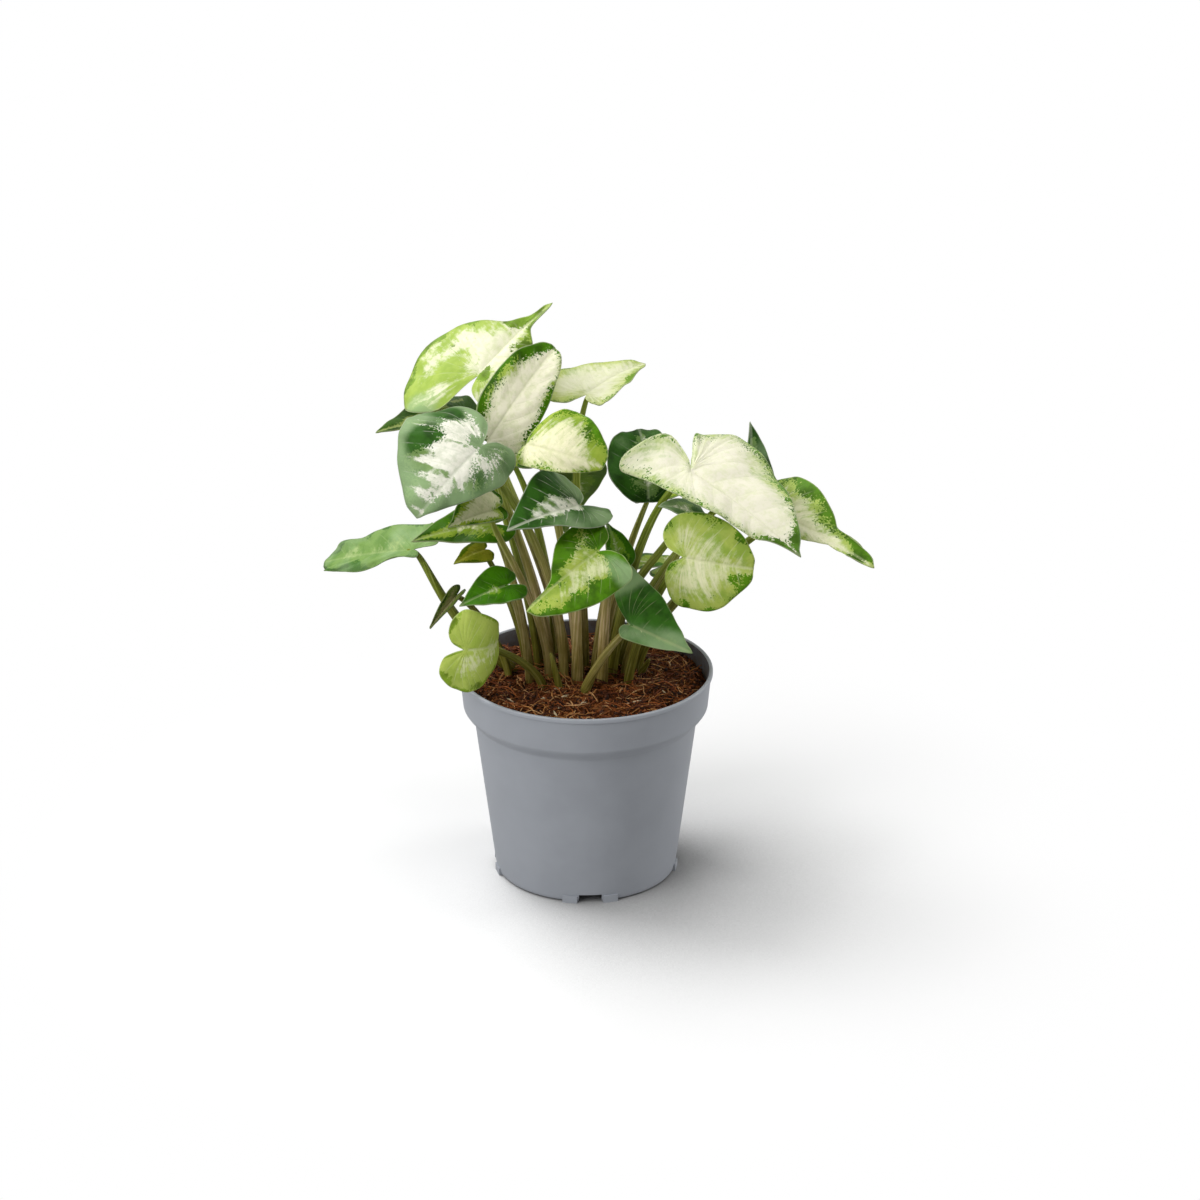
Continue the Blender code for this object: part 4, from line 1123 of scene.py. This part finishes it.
def make_pot():
    """The turned shell with its drain notches, feet and drain holes."""
    pot = object_from(turned_bmesh(pot_profile(), TURN_STEPS), "nursery_pot", (pot_plastic(),))
    holes = bmesh.new()
    feet = bmesh.new()
    foot_offset = (NOTCH_WIDTH + FOOT_WIDTH + 2 * FOOT_GAP) / 2 / FOOT_RING_RADIUS
    for index in range(NOTCHES):
        turn = math.radians(FRONT_NOTCH_ANGLE + 360 * index / NOTCHES)
        cube_at(holes, (NOTCH_DEPTH, NOTCH_WIDTH, 2 * NOTCH_HEIGHT), FOOT_RING_RADIUS, 0.0, turn)
        for side in (-1, 1):
            size = (FOOT_DEPTH + FOOT_PROUD, FOOT_WIDTH, FOOT_FACE_HEIGHT)
            radius = FOOT_RING_RADIUS + FOOT_PROUD / 2
            cube_at(feet, size, radius, FOOT_FACE_HEIGHT / 2, turn + side * foot_offset)
    for index in range(DRAIN_HOLES):
        turn = 2 * math.pi * index / DRAIN_HOLES
        drill = bmesh.ops.create_cone(
            holes, cap_ends=True, segments=DRILL_SIDES, radius1=DRAIN_HOLE_RADIUS * MM,
            radius2=DRAIN_HOLE_RADIUS * MM, depth=4 * WALL * MM,
        )["verts"]
        centre = (math.cos(turn) * DRAIN_HOLE_CIRCLE, math.sin(turn) * DRAIN_HOLE_CIRCLE, FLOOR_TOP)
        bmesh.ops.translate(holes, vec=Vector(centre) * MM, verts=drill)
    boolean(pot, holes, "DIFFERENCE")
    boolean(pot, feet, "UNION")
    # The inner wall gets the darker plastic: painted shade inside the pot, with soil dust.
    pot.data.materials.append(shaded_dusty_plastic())
    for face in pot.data.polygons:
        inward = face.normal.x * face.center.x + face.normal.y * face.center.y < 0
        below_lip = FLOOR_TOP * MM < face.center.z < (RIM_HEIGHT - LIP_INSIDE) * MM
        if inward and below_lip:
            face.material_index = 1
    pot.data.shade_smooth()
    pot.data.set_sharp_from_angle(angle=math.radians(SHARP_FROM))
    stands_for(pot, "pot")


# ---------------------------------------------------------------------------------------------
# Soil
# ---------------------------------------------------------------------------------------------


# How high clods and crumbs stand out of the mound, and how far it sinks beside the wall.
CLOD_HEIGHT = 1.9
CRUMB_HEIGHT = 0.5
EDGE_SINK = 1.5
EDGE_WIDTH = 6.0

# The browns of the fibres, the crumbs and the slivers of wood, and how far a fibre thins to its ends.
STRAND_TINTS = ("#844a22", "#9a5c2c", "#b87f48", "#5e301a", "#43210f", "#743c1c", "#cf9f6c", "#935022")
CHIP_TINTS = ("#341a0c", "#502a14", "#6a3a1a", "#1c0c05", "#85502a")
SLIVER_TINTS = ("#cdb896",)
STRAND_TAPER = 0.6


def lumpy_height(x, y):
    """The height of the loose surface, in millimetres: the mound, with clods on it and a sunken edge."""
    radius = math.hypot(x, y)
    clods = noise.fractal(Vector((x / 9, y / 9, 3.0)), 0.9, 2.1, 4)
    crumbs = noise.noise(Vector((x / 2.2, y / 2.2, 9.0)))
    edge = smoothstep(SOIL_RADIUS - EDGE_WIDTH, SOIL_RADIUS, radius)
    return soil_height(radius) + CLOD_HEIGHT * clods + CRUMB_HEIGHT * crumbs - EDGE_SINK * edge


def make_soil_plug():
    """The plug of soil with a crumbly top."""
    top = [(SOIL_RADIUS * ring / SOIL_RINGS, SOIL_EDGE_HEIGHT, 0.0) for ring in range(SOIL_RINGS + 1)]
    side = [
        (BAND_BASE_RADIUS - WALL - SOIL_WALL_GAP, BAND_BASE_HEIGHT + 0.3, 0.0),
        (BODY_TOP_RADIUS - WALL - SOIL_WALL_GAP, BODY_TOP_HEIGHT, 0.0),
        (BODY_BASE_RADIUS - WALL - SOIL_WALL_GAP, FLOOR_TOP + SOIL_FLOOR_GAP, 0.0),
        (0.0, FLOOR_TOP + SOIL_FLOOR_GAP, 0.0),
    ]
    bm = turned_bmesh(top + side, SOIL_SPOKES)
    for vert in bm.verts:
        if vert.co.z > (SOIL_EDGE_HEIGHT - 1) * MM:
            vert.co.z = lumpy_height(vert.co.x / MM, vert.co.y / MM) * MM
    soil = object_from(bm, "soil_plug", (soil_crumb(),))
    stands_for(soil, "soil")


def strand_mesh(length, width, bends, rng):
    """One template strand: a four-sided prism of that length along X, bent at random."""
    bm = bmesh.new()
    bmesh.ops.create_cube(bm, size=1.0)
    bmesh.ops.scale(bm, vec=(length, width, width * 0.6), verts=bm.verts)
    along = [edge for edge in bm.edges if abs(edge.verts[0].co.x - edge.verts[1].co.x) > length / 2]
    bmesh.ops.subdivide_edges(bm, edges=along, cuts=bends, use_grid_fill=True)
    sway = [rng.uniform(-1, 1) for _ in range(4)]
    for vert in bm.verts:
        share = vert.co.x / length + 0.5
        taper = 1 - STRAND_TAPER * abs(2 * share - 1)
        bow = 0.16 * sway[0] * math.sin(3.0 * share + sway[1])
        kink = 0.05 * sway[2] * math.sin(9 * share)
        vert.co.y *= taper
        vert.co.z *= taper
        vert.co.y += length * (bow + kink)
        vert.co.z += length * 0.07 * sway[3] * math.sin(4.5 * share + sway[2])
    return mesh_from(bm, "strand")


def scattered(name, templates, count, tints, rng, most_radius, lift, tilt, skin):
    """Copies of the template meshes strewn on the soil at random, each with a tint of its own."""
    bm = bmesh.new()
    tint_layer = bm.verts.layers.float_color.new("tint")
    done = 0
    for _ in range(count):
        mesh = rng.choice(templates).copy()
        radius = most_radius * math.sqrt(rng.random())
        angle = rng.uniform(0, 2 * math.pi)
        x, y = radius * math.cos(angle), radius * math.sin(angle)
        place = Vector((x, y, lumpy_height(x, y) + rng.uniform(*lift)))
        turn = Matrix.Rotation(rng.uniform(0, 2 * math.pi), 4, "Z")
        lean = Matrix.Rotation(math.radians(rng.uniform(-tilt, tilt)), 4, "Y")
        spin = Matrix.Rotation(rng.uniform(0, 2 * math.pi), 4, "X")
        size = Matrix.Scale(rng.uniform(0.6, 1.3), 4)
        mesh.transform(Matrix.Translation(place * MM) @ turn @ lean @ spin @ size @ Matrix.Scale(MM, 4))
        bm.from_mesh(mesh)
        bpy.data.meshes.remove(mesh)
        bm.verts.ensure_lookup_table()
        tint = linear(rng.choice(tints))
        for index in range(done, len(bm.verts)):
            bm.verts[index][tint_layer] = tint
        done = len(bm.verts)
    piece = object_from(bm, name, (skin,))
    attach(piece, "root")


def chip_mesh(size, rng):
    """One template crumb: a rough flattened lump."""
    bm = bmesh.new()
    bmesh.ops.create_icosphere(bm, subdivisions=1, radius=size / 2)
    for vert in bm.verts:
        vert.co *= rng.uniform(0.6, 1.25)
    bmesh.ops.scale(bm, vec=(1.0, 0.75, 0.6), verts=bm.verts)
    return mesh_from(bm, "chip")


def make_soil_litter():
    """Coir strands, crumbs and a few pale slivers on top of the plug."""
    rng = random.Random(11)
    skin = coir_strand()
    short = [strand_mesh(rng.uniform(5, 11), rng.uniform(0.35, 0.7), 5, rng) for _ in range(14)]
    long = [strand_mesh(rng.uniform(14, 24), rng.uniform(0.3, 0.55), 9, rng) for _ in range(10)]
    crumbs = [chip_mesh(rng.uniform(1.2, 2.6), rng) for _ in range(10)]
    slivers = [strand_mesh(rng.uniform(3, 7), rng.uniform(0.7, 1.1), 3, rng) for _ in range(5)]
    edge = SOIL_RADIUS - 4
    scattered("soil_crumbs", crumbs, 2200, CHIP_TINTS, rng, edge + 2, (-0.3, 0.9), 40, skin)
    scattered("coir_short", short, 1500, STRAND_TINTS, rng, edge, (0.1, 1.3), 22, skin)
    scattered("coir_long", long, 260, STRAND_TINTS, rng, edge - 7, (0.6, 1.8), 8, skin)
    scattered("pale_slivers", slivers, 26, SLIVER_TINTS, rng, edge - 3, (1.0, 1.6), 12, skin)


# ---------------------------------------------------------------------------------------------
# Stage
# ---------------------------------------------------------------------------------------------


# The floor fades to white between these distances from the pot, in metres. Its own colour is what
# lights the plant from below, and what the camera sees of it is paler.
FLOOR_HALF_WIDTH = 6.0
FLOOR_FADE = (0.10, 0.28)
FLOOR_TONE = "#b4b4b4"
FLOOR_SEEN = (0.85, 0.85, 0.85, 1.0)
# The painted contact shadow looks for what stands in the way towards the key lamp, so it lies right of the
# pot.
CONTACT_LEAN = (-0.58, 0.55, 0.60)
CONTACT_REACH = 0.18
CONTACT_SHARES = (0.35, 0.9)
PAINTED_CONTACT_SHADE = "#929292"
SKY_STRENGTH = 0.30

# Lamps, all aimed at the crown: name, place in metres, size in metres and watts.
LAMP_AIM = Vector((0, 0, 0.12))
LAMPS = (
    ("key", (-0.75, 0.52, 1.3), 0.9, 14.5),
    ("fill", (-0.95, -0.85, 0.95), 0.9, 13),
    ("top", (0.2, -0.45, 1.5), 0.8, 5),
    ("rim", (1.1, 0.3, 0.35), 0.5, 5),
)

# The camera looks down at the target from the front, in metres, degrees and millimetres of lens.
CAMERA_TARGET = Vector((0.0068, 0.0, 0.1362))
CAMERA_DISTANCE = 1.4
CAMERA_ELEVATION = 22.2
CAMERA_LENS = 90.0
SENSOR_WIDTH = 36.0
NEAREST_SEEN = 0.01


def make_floor():
    """A pale matt floor that keeps the lamps' shadow near the pot, with a painted contact shadow added, and
    fades to plain white away from it.
    """
    bm = bmesh.new()
    bmesh.ops.create_grid(bm, x_segments=1, y_segments=1, size=FLOOR_HALF_WIDTH)
    material, tree = new_material("pale_floor")
    seen = add(tree, "LightPath", output="Is Camera Ray")
    place = add(tree, "TexCoord", output="Object")
    away = add(tree, "VectorMath", (place,), "Value", operation="LENGTH")
    distant = add(tree, "MapRange", (away, *FLOOR_FADE), **SMOOTH)
    fade = add(tree, "Math", (distant, seen), operation="MULTIPLY")
    # Painted contact shadow: ambient occlusion leaned towards the key lamp darkens the floor beside the pot.
    lean = add(tree, "Normal")
    lean.default_value = CONTACT_LEAN
    inputs = {"Distance": CONTACT_REACH, "Normal": lean}
    open_sky = add(tree, "AmbientOcclusion", inputs, "AO", samples=8)
    clear = add(tree, "MapRange", (open_sky, *CONTACT_SHARES), **SMOOTH)
    inputs = {FACTOR: clear, FIRST: linear(PAINTED_CONTACT_SHADE), SECOND: FLOOR_SEEN}
    shaded = add(tree, "Mix", inputs, MIXED, **COLOUR)
    shown = add(tree, "Mix", {FACTOR: seen, FIRST: linear(FLOOR_TONE), SECOND: shaded}, MIXED, **COLOUR)
    near = add(tree, "BsdfDiffuse", {"Color": shown})
    far = add(tree, "Emission", {"Strength": 1.0})
    add(tree, "OutputMaterial", {"Surface": add(tree, "MixShader", (fade, near, far))})
    floor = object_from(bm, "floor", (material,))


def make_world():
    """An even white studio, which is plain white wherever the camera or a reflection sees it."""
    world = bpy.data.worlds.new("studio")
    world.use_nodes = True
    tree = world.node_tree
    tree.nodes.clear()
    path = add(tree, "LightPath").node.outputs
    seen = add(tree, "Math", (path["Is Camera Ray"], path["Is Glossy Ray"]), operation="MAXIMUM")
    shown = add(tree, "Math", (seen, path["Is Transmission Ray"]), operation="MAXIMUM")
    strength = add(tree, "MapRange", {"Value": shown, "To Min": SKY_STRENGTH, "To Max": 1.0})
    sky = add(tree, "Background", {"Color": linear("#ffffff"), "Strength": strength})
    add(tree, "OutputWorld", {"Surface": sky})
    bpy.context.scene.world = world


def make_lamps():
    """Square soft lamps that face the crown."""
    for name, place, size, watts in LAMPS:
        lamp = bpy.data.lights.new(name, "AREA")
        lamp.energy = watts
        lamp.size = size
        holder = put_in_scene(name, lamp)
        holder.location = place
        holder.rotation_euler = (LAMP_AIM - Vector(place)).to_track_quat("-Z", "Y").to_euler()


def make_camera():
    """The camera, level from side to side, in front of the plant and above it."""
    camera = bpy.data.cameras.new("camera")
    camera.lens = CAMERA_LENS
    camera.sensor_width = SENSOR_WIDTH
    camera.clip_start = NEAREST_SEEN
    holder = put_in_scene("camera", camera)
    tilt = math.radians(CAMERA_ELEVATION)
    offset = Vector((0, -math.cos(tilt), math.sin(tilt))) * CAMERA_DISTANCE
    holder.location = CAMERA_TARGET + offset
    holder.rotation_euler = (-offset).to_track_quat("-Z", "Y").to_euler()
    bpy.context.scene.camera = holder


def main():
    make_pot()
    make_soil_plug()
    make_soil_litter()
    skin = petiole_skin()
    for seed, leaf in enumerate(LEAVES):
        make_blade(leaf, seed + 0.37)
        make_petiole(leaf, seed, skin)
    for seed, (name, foot, tip) in enumerate(SHOOTS):
        make_shoot(name, foot, tip, seed + 50, skin)
    make_floor()
    make_world()
    make_lamps()
    make_camera()
    bpy.context.scene.view_settings.view_transform = "Standard"


main()
